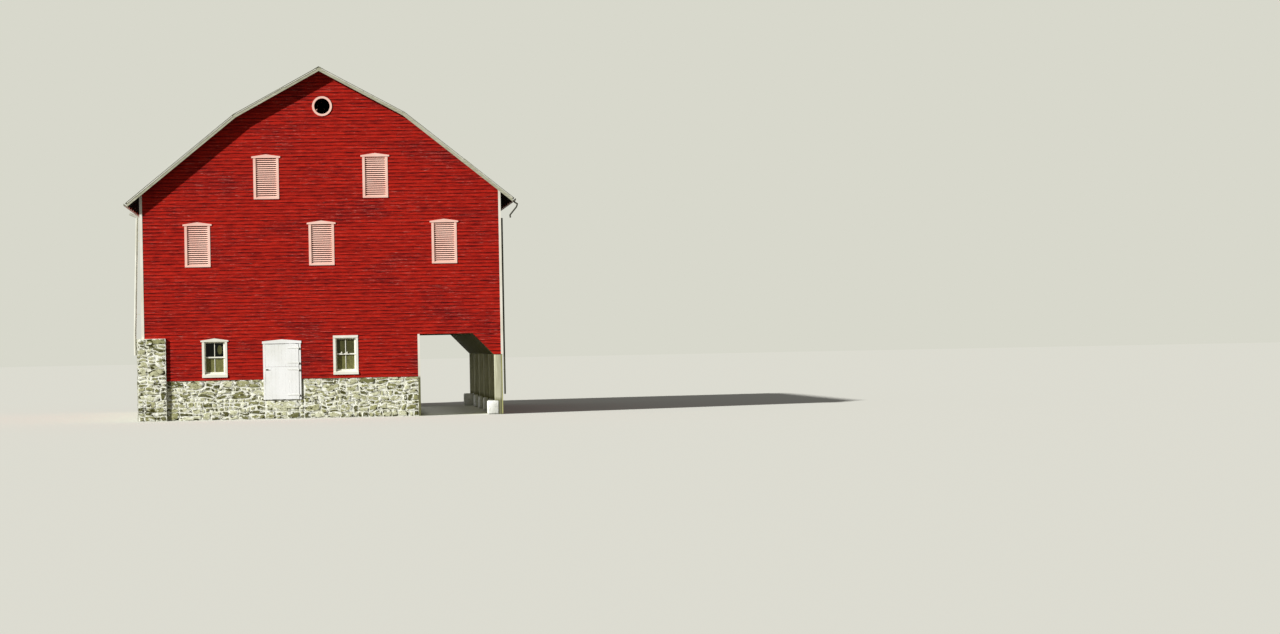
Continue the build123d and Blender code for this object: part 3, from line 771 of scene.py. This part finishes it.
def laid_strip(side, start, stop, lifts):
    """A strip on the front rake from start to stop, two points (x, z) on one slope."""
    along, back, up = strip_points.T
    run, rise = stop[0] - start[0], stop[1] - start[1]
    length = math.hypot(run, rise)
    nx, nz = abs(rise) / length, abs(run) / length
    lift = strip_low + (strip_high - strip_low) * up
    lift = lift + lifts[0] * (1 - along) ** 2 + lifts[1] * along ** 2
    points = np.stack((side * (start[0] + run * along + nx * lift),
                       front_y - strip_reach + strip_thick * back - strip_splay * (1 - up),
                       start[1] + rise * along + nz * lift), axis=1)
    return copied(strip, points, 0.5)


def line_z(x):
    return eave_z + (eave_x - x) * lower_slope if x > break_x else apex_z - x * upper_slope


def flashing(name, seed):
    dice = random.Random(seed)
    laid = []
    for side in (-1, 1):
        for x0, x1 in ((0.06, break_x - 0.05), (break_x + 0.06, eave_stop)):
            x = x0
            while x < x1 - 0.05:
                stop = x1 if x1 - x < 1.9 else x + dice.uniform(1.0, 1.7)
                lifts = [max(0.0, dice.gauss(-0.004, 0.014)) for _ in range(2)]
                laid.append(laid_strip(side, (x, line_z(x)), (stop - 0.012, line_z(stop - 0.012)), lifts))
                x = stop
    piece = laid_in(name, laid, "strips")
    face_outwards(piece)
    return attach(piece, "barn")


front_flashing = flashing("front_flashing", 71)
rear_flashing = turned(flashing("rear_flashing", 72), 180)
discard(strip)

# %% [markdown]
# ## Knobs and a splinter
# Two small white knobs stand on the meeting rail of the right window. A knob is turned work, so a ring of
# edges is enough: a sphere is squeezed flat at its foot and joined to its twin. In the round vent a broken
# end of board still sticks out of the ring. It is a box with one end pressed narrow and its edges worn.

# %% Window knobs and vent splinter
def knob(x, z, y):
    only(*bpy.context.scene.objects[:1])
    bpy.ops.mesh.primitive_uv_sphere_add(segments=12, ring_count=8, radius=0.028, location=(x, y, z))
    piece = bpy.context.object
    bpy.ops.object.transform_apply(location=True, rotation=True, scale=True)
    edit(piece, lambda c, n: c.z < z - 0.012)
    bpy.ops.transform.resize(value=(1, 1, 0.2), center_override=(x, y, z - 0.018))
    done()
    bpy.ops.object.shade_smooth()
    return piece


def vent_splinter():
    """A broken end of board inside the ring of the round vent, at its lower left."""
    piece = cube("vent_splinter", (-0.045, -0.009, -0.028), (0.045, 0.009, 0.028))
    edit(piece, lambda c, n: c.x > 0.04)
    bpy.ops.transform.resize(value=(1, 1, 0.45), center_override=(0.045, 0, 0))
    bpy.ops.transform.translate(value=(0, 0, 0.012))
    done()
    apply_modifier(piece, "BEVEL", width=0.004, segments=2)
    place = Matrix.Translation((vent_at.x - 0.215, front_y + 0.010, vent_at.z - 0.150))
    piece.data.transform(place @ Matrix.Rotation(math.radians(-32), 4, "Y"))
    return piece


sash_face = front_y + 0.060
knob_places = [(0.665, 2.410), (0.870, 2.412)]
knobs = joined("window_knobs", [knob(x, z, sash_face - 0.020) for x, z in knob_places])
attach(knobs, "barn")
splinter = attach(vent_splinter(), "barn")
print(len(knob_places), "knobs and a splinter of", len(splinter.data.polygons), "faces")

# %% [markdown]
# ## Paint written as sums
# Every finish is a small network of nodes. Written out one node at a time it hides its meaning, so a Wire
# wraps one output and lets plain arithmetic add the Math nodes: 1 - mask * 0.5 is then three symbols and two
# nodes. A short loop gives a Wire its signs. Any other node comes from one method, add, which takes its
# settings first and its inputs after.

# %% Wires and finishes
class Wire:
    """One output of a node in a finish."""
    def __init__(self, finish, socket):
        self.finish, self.socket = finish, socket

    def math(self, operation, *values):
        return self.finish.add("ShaderNodeMath", {"operation": operation}, dict(enumerate(values)))


def operator(operation, swapped=False):
    def act(self, other):
        return self.math(operation, *((other, self) if swapped else (self, other)))
    return act


for sign, operation in (("add", "ADD"), ("radd", "ADD"), ("sub", "SUBTRACT"), ("mul", "MULTIPLY"),
                        ("rmul", "MULTIPLY"), ("truediv", "DIVIDE"), ("gt", "GREATER_THAN"),
                        ("lt", "LESS_THAN")):
    setattr(Wire, f"__{sign}__", operator(operation))
Wire.__rsub__ = operator("SUBTRACT", swapped=True)


class Finish:
    """A material of one colour, with its Object coordinates as .place and their parts as .x, .y and .z."""
    def __init__(self, name, colour=(0, 0, 0)):
        self.colour = paint(*colour)
        self.material = bpy.data.materials.new(name)
        self.material.use_nodes = True
        self.tree = self.material.node_tree
        self.shader = self.tree.nodes["Principled BSDF"]
        self.place = self.add("ShaderNodeTexCoord", {}, {}, "Object")
        split = self.add("ShaderNodeSeparateXYZ", {}, {0: self.place})
        outs = split.socket.node.outputs
        self.x, self.y, self.z = (Wire(self, outs[i]) for i in range(3))

    def add(self, kind, settings, inputs, output=0):
        node = self.tree.nodes.new(kind)
        for key, value in settings.items():
            if key == "stops":
                while len(node.color_ramp.elements) < len(value):
                    node.color_ramp.elements.new(0.5)
                for element, (position, colour) in zip(node.color_ramp.elements, value):
                    element.position, element.color = position, colour
            else:
                setattr(node, key, value)
        for key, value in inputs.items():
            self.link(node.inputs[key], value)
        return Wire(self, node.outputs[output])

    def link(self, socket, value):
        if isinstance(value, Wire):
            self.tree.links.new(value.socket, socket)
        else:
            socket.default_value = value

    def noise(self, stretch, detail=4.0, rough=0.55, shift=0.0):
        """Cloudy noise from 0 to 1 with so many lumps a metre along each axis."""
        spot = self.add("ShaderNodeMapping", {}, {0: self.place, 1: (shift, shift, shift), 3: stretch})
        inputs = {"Vector": spot, "Scale": 1.0, "Detail": detail, "Roughness": rough}
        return self.add("ShaderNodeTexNoise", {}, inputs)

    def step(self, wire, low, high, a=0.0, b=1.0):
        """Goes from a to b as the wire goes from low to high."""
        return self.add("ShaderNodeMapRange", {"clamp": True}, {0: wire, 1: low, 2: high, 3: a, 4: b})

    def carried(self, name):
        """A number that each copied board or stone carries on its vertices."""
        return self.add("ShaderNodeAttribute", {"attribute_name": name}, {}, "Fac")

    def stain(self, amount, colour):
        """Lays one more colour over the last, as much of it as the amount says."""
        inputs = {0: amount, 6: self.colour, 7: paint(*colour)}
        self.colour = self.add("ShaderNodeMix", {"data_type": "RGBA"}, inputs, 2)

    def surface(self, rough, height, depth, **constants):
        """Sends the finished colour, roughness and relief to the shader."""
        self.link(self.shader.inputs["Base Color"], self.colour)
        self.link(self.shader.inputs["Roughness"], rough)
        bump = self.add("ShaderNodeBump", {}, {"Height": height, "Distance": depth, "Strength": 1.0})
        self.link(self.shader.inputs["Normal"], bump)
        for key, value in constants.items():
            self.shader.inputs[key.replace("_", " ")].default_value = value
        return self.material


def paint(red, green, blue):
    """A colour written in the 0 to 255 values of a picture, as the linear values that nodes use."""
    def linear(v):
        v /= 255
        return v / 12.92 if v <= 0.04045 else ((v + 0.055) / 1.055) ** 2.4
    return (linear(red), linear(green), linear(blue), 1.0)


def wear(*pieces, finish):
    for piece in pieces:
        piece.data.materials.clear()
        piece.data.materials.append(finish)


print("finishes ready")

# %% [markdown]
# ## Weathered red paint
# Barn red fades by the board, not as one sheet: some boards keep a bright red, some have gone to wine, and
# thin pinkish streaks show where paint has chalked off along the grain. Noise that is stretched along the
# wall and squeezed in height gives streaks, and a slower noise gathers the dark boards into patches. The
# strip under each lap is darkened as painted shade, and a band along the lower edge of some boards is
# lightened as a painted highlight.

# %% Red siding
def red_siding():
    m = Finish("barn_red", (188, 34, 20))
    tone = m.carried("tone")
    streak = m.noise((2.2, 2.2, 28.0), 7.0, 0.66)
    fine = m.noise((14.0, 14.0, 110.0), 4.0, 0.65, 4.0)
    patch = m.noise((0.32, 0.32, 0.75), 5.0, 0.62, 9.0)
    chalk_and_highlight = m.noise((3.0, 3.0, 44.0), 5.0, 0.72, 17.0)
    m.stain(m.step(streak * 0.8 + tone * 0.06, 0.36, 0.58), (112, 16, 14))
    m.stain(m.step(patch * 0.75 + streak * 0.25, 0.50, 0.64) * 0.6, (82, 14, 20))
    height = (m.z - base_top + (streak - 0.5) * 0.05) / course
    within = height.math("FRACT", height)
    # Painted highlight: a lighter band along the lower edge of each board, where the noise allows.
    m.stain(m.step(within, 0.45, 0.10) * m.step(chalk_and_highlight, 0.40, 0.60) * 0.6, (212, 56, 42))
    chalk = m.step(chalk_and_highlight * 0.85 + patch * 0.20, 0.61, 0.70)
    m.stain(chalk * 0.7, (222, 136, 122))
    # Painted shade: the strip under each lap, below the next board's lower edge, is darkened almost to black.
    lap_shade = m.step(within, 0.58, 0.92) * m.step(streak + (fine - 0.5) * 0.8, 0.32, 0.62, 0.30, 1.0)
    m.stain(lap_shade * 0.95, (50, 4, 5))
    m.stain(m.step(fine, 0.54, 0.68) * 0.5, (78, 8, 8))
    return m.surface(0.7 + streak * 0.2, fine * 0.6 + streak * 0.4, 0.0016, Specular_IOR_Level=0.08)


barn_red = red_siding()
wear(*sided, finish=barn_red)
print("red paint:", len(barn_red.node_tree.nodes), "nodes")

# %% [markdown]
# ## White and salmon paint
# The trim is thick oil paint on planed wood: warm white on the corners and windows, whiter on the door, and
# a salmon that has faded on the louvres. All of them share one recipe with its own two colours: faint grain
# along the board, greyish dirt in patches, and wood that shows through where the noise peaks. Three settings
# fit it to its place: the trim beside the passage is unpainted at its foot, the slats of the louvres are
# darkened as painted shade where they run back into the wall, and the backs of the door leaves never had
# more than a thin coat.

# %% Painted trim
def painted(name, clean, dirty, bare, grain, bare_share=0.72, rough=0.5, foot=-9.0, sunk=-9.0):
    m = Finish(name, clean)
    cloud = m.noise((1.1, 1.1, 0.9), 5.0, 0.6)
    lines = m.noise(grain, 4.0, 0.6, 3.0)
    m.stain(m.step(cloud, 0.40, 0.75) * 0.75, dirty)
    worn = m.step(lines * 0.7 + cloud * 0.3, bare_share - 0.06, bare_share + 0.06)
    m.stain(worn * 0.7, bare)
    m.stain(m.step(m.z + cloud * 0.1, foot + 0.10, foot), (104, 103, 68))
    # Painted shade: deep in a louvre, where the slats run back into the wall, they are darkened.
    depth = m.y.math("ABSOLUTE", m.y)
    shaded = m.step(depth + cloud * 0.006, sunk + 0.005, sunk - 0.005)
    m.stain(shaded, (66, 22, 17))
    return m.surface(rough + cloud * 0.2, lines, 0.0009, Specular_IOR_Level=0.2)


upright_grain, level_grain, even_grain = (45.0, 45.0, 1.6), (1.8, 1.8, 60.0), (6.0, 6.0, 9.0)
trim_white = painted("trim_white", (240, 236, 220), (212, 206, 182), (158, 152, 126),
                     upright_grain, foot=base_top)
door_white = painted("door_white", (252, 252, 248), (232, 232, 222), (176, 174, 152),
                     upright_grain, 0.68)
window_cream = painted("window_cream", (246, 244, 230), (216, 214, 188), (150, 148, 112),
                       level_grain, 0.74)
salmon = painted("louvre_salmon", (254, 212, 194), (240, 180, 162), (190, 116, 96),
                 even_grain, 0.78, sunk=-front_y - 0.034)
leaf_back = painted("leaf_back", (196, 192, 168), (160, 155, 128), (116, 108, 82),
                    upright_grain, 0.60)
wear(upper_leaf, lower_leaf, finish=door_white)
for leaf, node in ((upper_leaf, "upper_leaf_boards"), (lower_leaf, "lower_leaf_boards")):
    leaf.data.materials.append(leaf_back)
    face_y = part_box(node)[0].y
    for face in leaf.data.polygons:
        face.material_index = int(face.normal.y > 0.5 or face.center.y > face_y + 0.042)
wear(knobs, finish=trim_white)
wear(splinter, finish=salmon)
print("five painted finishes")

# %% [markdown]
# ## Stone and mortar
# The stones are pale limestone and sandstone with a few olive-grey ones, and the mortar is paler still. The
# tone of each stone picks its colour from a ramp, and noise at two sizes gives it grain and stains. Where
# mortar was smeared over a stone it is pale, and pits and open joints are darkened as painted shade. The
# face that looks out from the bank is darkened too, as painted shade against the strong sun on it.

# %% Stones, mortar and whitewash
def shaded_pit_noise(m):
    return m.noise((4.8, 4.8, 9.0), 6.0, 0.66, 12.0)


def bank_side_shade(m):
    """Darkens the side that faces the bank, as painted shade that tones down the strong sun on that side."""
    m.stain(m.step(m.x, bank_low.x + 0.02, bank_low.x) * 0.55, (112, 110, 78))


def stone_face():
    m = Finish("rubble_face")
    tone = m.carried("tone")
    cloud = m.noise((7.0, 7.0, 7.0), 5.0, 0.65)
    grit = m.noise((60.0, 60.0, 60.0), 3.0, 0.7, 5.0)
    rim = m.carried("rim")
    kinds = [(0.0, paint(180, 179, 132)), (0.30, paint(230, 230, 196)), (0.55, paint(174, 173, 124)),
             (0.75, paint(142, 141, 90)), (0.90, paint(100, 99, 54)), (1.0, paint(70, 69, 32))]
    m.colour = m.add("ShaderNodeValToRGB", {"stops": kinds}, {0: tone})
    m.stain(m.step(cloud, 0.48, 0.66) * 0.7, (140, 139, 100))
    m.stain(m.step(grit, 0.55, 0.72) * 0.35, (240, 239, 220))
    smear = m.noise((4.6, 4.6, 7.0), 6.0, 0.62, 31.0)
    m.stain(m.step(smear + rim * 0.14 + grit * 0.10, 0.60, 0.66), (250, 250, 236))
    shaded_pits = shaded_pit_noise(m)
    # Painted shade: pits and the edges of each stone, where the joints open, are darkened.
    m.stain(m.step(shaded_pits + rim * 0.09 - grit * 0.10, 0.51, 0.58), (62, 60, 20))
    bank_side_shade(m)
    return m.surface(0.86, grit * 0.25 + cloud * 0.8 - shaded_pits, 0.024, Specular_IOR_Level=0.1)


def mortar_bed(name, pale, dull, pitted=0.8):
    m = Finish(name, pale)
    cloud = m.noise((2.4, 2.4, 3.0), 6.0, 0.65)
    grit = m.noise((90.0, 90.0, 90.0), 3.0, 0.7, 2.0)
    lumps = m.noise((11.0, 11.0, 14.0), 4.0, 0.6, 8.0)
    m.stain(m.step(cloud, 0.40, 0.70), dull)
    m.stain(m.step(lumps, 0.56, 0.70) * 0.5, (176, 175, 142))
    shaded_pits = shaded_pit_noise(m)
    # Painted shade in the pits of the mortar.
    m.stain(m.step(shaded_pits - grit * 0.10, 0.52, 0.59) * pitted, (72, 70, 26))
    bank_side_shade(m)
    return m.surface(0.9, grit * 0.3 + lumps - shaded_pits, 0.012, Specular_IOR_Level=0.1)


rubble_face = stone_face()
lime_mortar = mortar_bed("lime_mortar", (250, 250, 236), (222, 221, 192))
whitewash = mortar_bed("whitewash", (250, 250, 243), (228, 228, 214), 0.15)
wear(*stony, finish=rubble_face)
print("stone finishes")

# %% [markdown]
# ## Bare wood
# Boards that were never painted go olive-brown in the damp passage and stay a warmer brown in the dry roof.
# The passage boards are paler than such wood, as painted light for the daylight that bounces in; the sloping
# boards above them are a darker copy, as painted shade, and the wood under the eaves is nearly black, as
# painted shade.
# The grain must run along each board, so the same recipe takes the direction as a stretch of the noise.

# %% Bare boards and timbers
def bare_wood(name, light, dark, grain, knots=0.0, foot=-9.0):
    m = Finish(name, dark)
    lines = m.noise(grain, 6.0, 0.65)
    cloud = m.noise((1.3, 1.3, 0.8), 4.0, 0.6, 6.0)
    tone = m.carried("tone")
    m.stain(m.step(lines * 0.7 + cloud * 0.3, 0.36, 0.64), light)
    m.stain(tone * 0.45, dark)
    spots = m.noise((5.0, 5.0, 3.0), 2.0, 0.4, 21.0)
    m.stain(m.step(spots, 0.70, 0.74) * knots, (22, 20, 10))
    m.stain(m.step(m.z + cloud * 0.2, foot + 0.15, foot), (132, 131, 98))
    return m.surface(0.85, lines, 0.0025, Specular_IOR_Level=0.2)


# Painted light: the passage boards are paler than weathered wood, for the daylight that bounces into the
# passage.
lit_passage_wood = bare_wood("lit_passage_wood", (216, 214, 150), (138, 136, 80), (22.0, 22.0, 0.9), 0.8)
# Painted shade: the sloping boards are a darker copy of the passage boards.
shaded_haunch_wood = bare_wood("shaded_haunch_wood", (104, 102, 60), (40, 38, 18), (22.0, 22.0, 0.9), 0.6)
# Painted shade: the rafter tails and roof deck under the eaves are coloured nearly black.
shaded_eave_wood = bare_wood("shaded_eave_wood", (50, 49, 32), (24, 23, 13), (3.0, 1.0, 3.0))
frame_wood = bare_wood("frame_wood", (132, 112, 80), (74, 58, 38), (3.0, 3.0, 3.0))
joist_wood = bare_wood("joist_wood", (96, 90, 58), (44, 40, 22), (1.0, 30.0, 30.0))
floor_wood = bare_wood("floor_wood", (120, 108, 76), (66, 56, 36), (24.0, 0.9, 10.0))
post_wood = bare_wood("post_wood", (214, 212, 184), (160, 158, 126), (26.0, 26.0, 1.0), 0.3,
                      foot=0.62)
rake_wood = bare_wood("rake_wood", (204, 203, 180), (146, 145, 118), (2.0, 2.0, 34.0))
wear(board_wall, stable_planks, finish=lit_passage_wood)
wear(sloping, finish=shaded_haunch_wood)
board_wall.data.materials.append(barn_red)
for face in board_wall.data.polygons:
    face.material_index = int(face.normal.x > 0.5)
print("wood finishes; the board wall is red outside")

# %% [markdown]
# ## Metal and glass
# The roof sheet is dull grey-green with streaks where rain runs down. Each strip between two seams weathers
# by itself, so a white noise of the strip's number sets its tone, and dirt stays along the seams. Gutters are
# dull white, the right pipe is dark olive, and the straps are painted with the door but dark at their eyes,
# where the paint is rubbed off. The panes are nearly black, as glass looks in front of a dark room, and dusty
# below.

# %% Sheet metal, iron and panes
def sheet_metal(name, light, dark, stretch, rough):
    m = Finish(name, light)
    run = m.noise(stretch, 5.0, 0.6)
    cloud = m.noise((0.7, 0.7, 0.7), 4.0, 0.6, 3.0)
    m.stain(m.step(run * 0.5 + cloud * 0.5, 0.38, 0.66), dark)
    return m.surface(rough + run * 0.2, run, 0.0006)


def seamed_roof(light, dark, grime):
    m = Finish("roof_sheet", light)
    run = m.noise((1.4, 9.0, 1.4), 5.0, 0.6)
    cloud = m.noise((0.7, 0.7, 0.7), 4.0, 0.6, 3.0)
    strip = (m.y + rib_end) / (2 * rib_end / (rib_count - 1))
    number = strip.math("FLOOR", strip)
    own = m.add("ShaderNodeTexWhiteNoise", {"noise_dimensions": "1D"}, {"W": number})
    off = strip.math("PINGPONG", strip, 0.5)
    m.stain(m.step(run * 0.5 + cloud * 0.5, 0.36, 0.68), dark)
    m.stain(own * 0.30, dark)
    m.stain(m.step(off, 0.13, 0.03) * m.step(cloud, 0.30, 0.60, 0.5, 0.9), grime)
    edge = m.step(m.y.math("ABSOLUTE", m.y), metal_high.y - 0.0003, metal_high.y - 0.0001)
    m.stain(edge * 0.85, (70, 70, 48))
    return m.surface(0.42 + run * 0.2, run, 0.0006, Metallic=0.35)


eye_edge, latch_edge, rubbed = -0.925, -2.050, 0.005
meeting_rail_z, between_windows = 2.33, -1.0
glint_x, glint_z, glint_wide, glint_high = -3.83, 2.60, 0.10, 0.19


def strap_iron():
    m = Finish("strap_iron", (240, 240, 232))
    chips = m.noise((40.0, 40.0, 60.0), 4.0, 0.6)
    eye = m.step(m.x, eye_edge - rubbed, eye_edge + rubbed)
    latch = m.step(m.x, latch_edge + rubbed, latch_edge - rubbed)
    bare = m.step(eye + latch + m.step(chips, 0.60, 0.68) * 0.7, 0.0, 1.0)
    m.stain(bare, (84, 82, 66))
    return m.surface(0.45 + chips * 0.3, chips, 0.001)


def old_glass():
    m = Finish("window_panes", (5, 6, 3))
    dust = m.noise((9.0, 9.0, 7.0), 5.0, 0.65)
    curtain = m.noise((26.0, 26.0, 2.0), 3.0, 0.6, 4.0)
    low = m.z < meeting_rail_z
    dim = (m.x > between_windows) * 0.42
    across, rise = (m.x - glint_x) / glint_wide, (m.z - glint_z) / glint_high
    patch = (across * across + rise * rise + curtain * 0.8) < 1.2
    film = m.step(dust * 0.6 + curtain * 0.4, 0.30, 0.62, 0.35, 1.0)
    film = film * m.step(low + dim + patch * 0.5, 0.0, 1.0)
    m.stain(film, (124, 123, 74))
    return m.surface(0.16 + film * 0.5, curtain * 0.3, 0.0008, IOR=1.5, Specular_IOR_Level=0.15)


roof_sheet = seamed_roof((168, 170, 154), (118, 120, 104), (74, 76, 62))
gutter_white = sheet_metal("gutter_white", (224, 222, 208), (176, 174, 154), (8.0, 8.0, 1.2), 0.45)
olive_sheet = sheet_metal("olive_sheet", (50, 50, 24), (28, 28, 12), (9.0, 9.0, 1.0), 0.5)
door_iron, panes = strap_iron(), old_glass()
wear(forebay_ribs, bank_ribs, finish=roof_sheet)
wear(front_flashing, rear_flashing, finish=gutter_white)
wear(footings, finish=whitewash)
wear(posts, finish=post_wood)
print("metal and glass finishes")

# %% [markdown]
# ## A finish for every CAD node
# What keeps its CAD shape gets one of the finishes above. The table goes by name, so a node that is missing
# here would stop the script instead of staying grey.

# %% Dress the nodes
dressed = {
    lime_mortar: ["bank_stone_wall", "front_stone_base", "rear_stone_base", "stable_stone_base", "door_sill"],
    whitewash: ["post_footings"],
    barn_red: ["front_wall_lower_left", "front_wall_lower_right", "front_wall_middle", "front_wall_peak",
               "rear_wall", "bank_wall", "forebay_wall", "forebay_board_wall"],
    lit_passage_wood: ["stable_wall", "haunch_boards", "forebay_sill_beam"],
    trim_white: ["corner_boards"],
    rake_wood: ["rake_boards"],
    salmon: ["front_louvres", "rear_louvres", "round_vent_rings"],
    window_cream: ["window_frames", "window_sashes"],
    door_white: ["door_casing", "upper_leaf_boards", "lower_leaf_boards"],
    roof_sheet: ["bank_roof_metal", "forebay_roof_metal", "ridge_cap"],
    gutter_white: ["gutters", "bank_downspout"],
    olive_sheet: ["forebay_downspout", "broken_elbow"],
    door_iron: ["door_pintles", "upper_leaf_straps", "lower_leaf_irons"],
    panes: ["window_glass"],
    post_wood: ["forebay_posts"],
    joist_wood: ["floor_joists", "summer_beams"],
    shaded_eave_wood: ["rafter_tails", "roof_deck"],
    floor_wood: ["upper_floor"],
    frame_wood: ["frame_posts", "frame_beams", "roof_timbers", "rafters", "stable_posts"],
}
for finish, names in dressed.items():
    wear(*[nodes[n] for n in names], finish=finish)
bare_nodes = set(nodes) - {n for names in dressed.values() for n in names}
assert not bare_nodes, bare_nodes
print(sum(len(n) for n in dressed.values()), "nodes dressed in", len(dressed), "finishes")

# %% [markdown]
# ## Floor, light and background
# The floor is a wide pale plane. Seen by the camera it is pale, but to the light that bounces it is darker,
# so that the gable isn't lit from below. One lamp stands where the photograph's light comes from: its
# direction is read from the shadow of the rake, which falls 0.58 m right and 0.35 m down for an overhang of
# 0.35 m. A little angle softens its edge, and the plain pale world fills the shadows. A long soft lamp in
# the passage stands for the light that comes in from outside.

# %% Stage
only(*bpy.context.scene.objects[:1])
bpy.ops.mesh.primitive_plane_add(size=900, location=(0, 0, -0.002))
ground = bpy.context.object
ground.name = "floor"


def camera_pale(tree, pale, dull, shader):
    """Pale to the camera and to reflections, duller to the light that bounces."""
    ray = tree.nodes.new("ShaderNodeLightPath")
    seen = tree.nodes.new("ShaderNodeMath")
    seen.operation, seen.use_clamp = "ADD", True
    tree.links.new(ray.outputs["Is Camera Ray"], seen.inputs[0])
    tree.links.new(ray.outputs["Is Glossy Ray"], seen.inputs[1])
    blend = tree.nodes.new("ShaderNodeMix")
    blend.data_type = "RGBA"
    tree.links.new(seen.outputs[0], blend.inputs[0])
    blend.inputs[6].default_value, blend.inputs[7].default_value = dull, pale
    tree.links.new(blend.outputs[2], shader.inputs[0])


floor_finish = Finish("plain_floor", (228, 227, 216))
camera_pale(floor_finish.tree, floor_finish.colour, paint(136, 135, 128), floor_finish.shader)
floor_finish.shader.inputs["Roughness"].default_value = 0.9
floor_finish.shader.inputs["Specular IOR Level"].default_value = 0.0
wear(ground, finish=floor_finish.material)

world = bpy.data.worlds.new("pale_world")
bpy.context.scene.world = world
world.use_nodes = True
world_tree, dull_grey = world.node_tree, (0.17, 0.17, 0.17, 1.0)
camera_pale(world_tree, paint(216, 216, 204), dull_grey, world_tree.nodes["Background"])

bpy.ops.object.light_add(type="SUN", location=(-40, -30, 40))
sun = bpy.context.object
sun.rotation_mode = "QUATERNION"
sun.rotation_quaternion = Vector((0.50, 0.30, -0.30)).to_track_quat("-Z", "Y")
sun.data.energy = 5.2
sun.data.angle = math.radians(1.5)
bpy.ops.object.light_add(type="AREA", location=(passage_x + 0.10, 0, 1.30), rotation=(0, -math.pi / 2, 0))
fill = bpy.context.object
fill.data.shape, fill.data.size, fill.data.size_y = "RECTANGLE", 1.6, 16.5
fill.data.energy = 60
fill.visible_camera = fill.visible_glossy = False
bpy.context.scene.view_settings.view_transform = "Standard"
print("light from the left, 27 degrees high")

# %% [markdown]
# ## The camera
# The photograph was taken square to the gable from far away, turned a few degrees to the right so that the
# barn stands left of the middle. The place, the turn and the focal length were solved from the roof's
# corners, the doorway and the far end of the passage.

# %% Camera
bpy.ops.object.camera_add()
camera = bpy.context.object
photo_width, focal_pixels, sensor = 1280, 3077, 36
stand_x, distance, eye_z = -0.43, 115.0, 2.64
yaw, pitch, roll = (math.radians(v) for v in (6.094, 0.442, -1.093))


def aimed(v):
    x, y, z = v
    y, z = y * math.cos(pitch) - z * math.sin(pitch), y * math.sin(pitch) + z * math.cos(pitch)
    return Vector((x * math.cos(yaw) + y * math.sin(yaw), -x * math.sin(yaw) + y * math.cos(yaw), z))


right = aimed((math.cos(roll), 0, math.sin(roll)))
up = aimed((-math.sin(roll), 0, math.cos(roll)))
place = Matrix((right, up, -aimed((0, 1, 0)))).transposed().to_4x4()
place.translation = Vector((stand_x, front_y - distance, eye_z))
camera.matrix_world = place
camera.data.sensor_width = sensor
camera.data.lens = focal_pixels / photo_width * sensor
camera.data.clip_end = 2000
bpy.context.scene.camera = camera
print("focal length", round(camera.data.lens, 1), "mm")
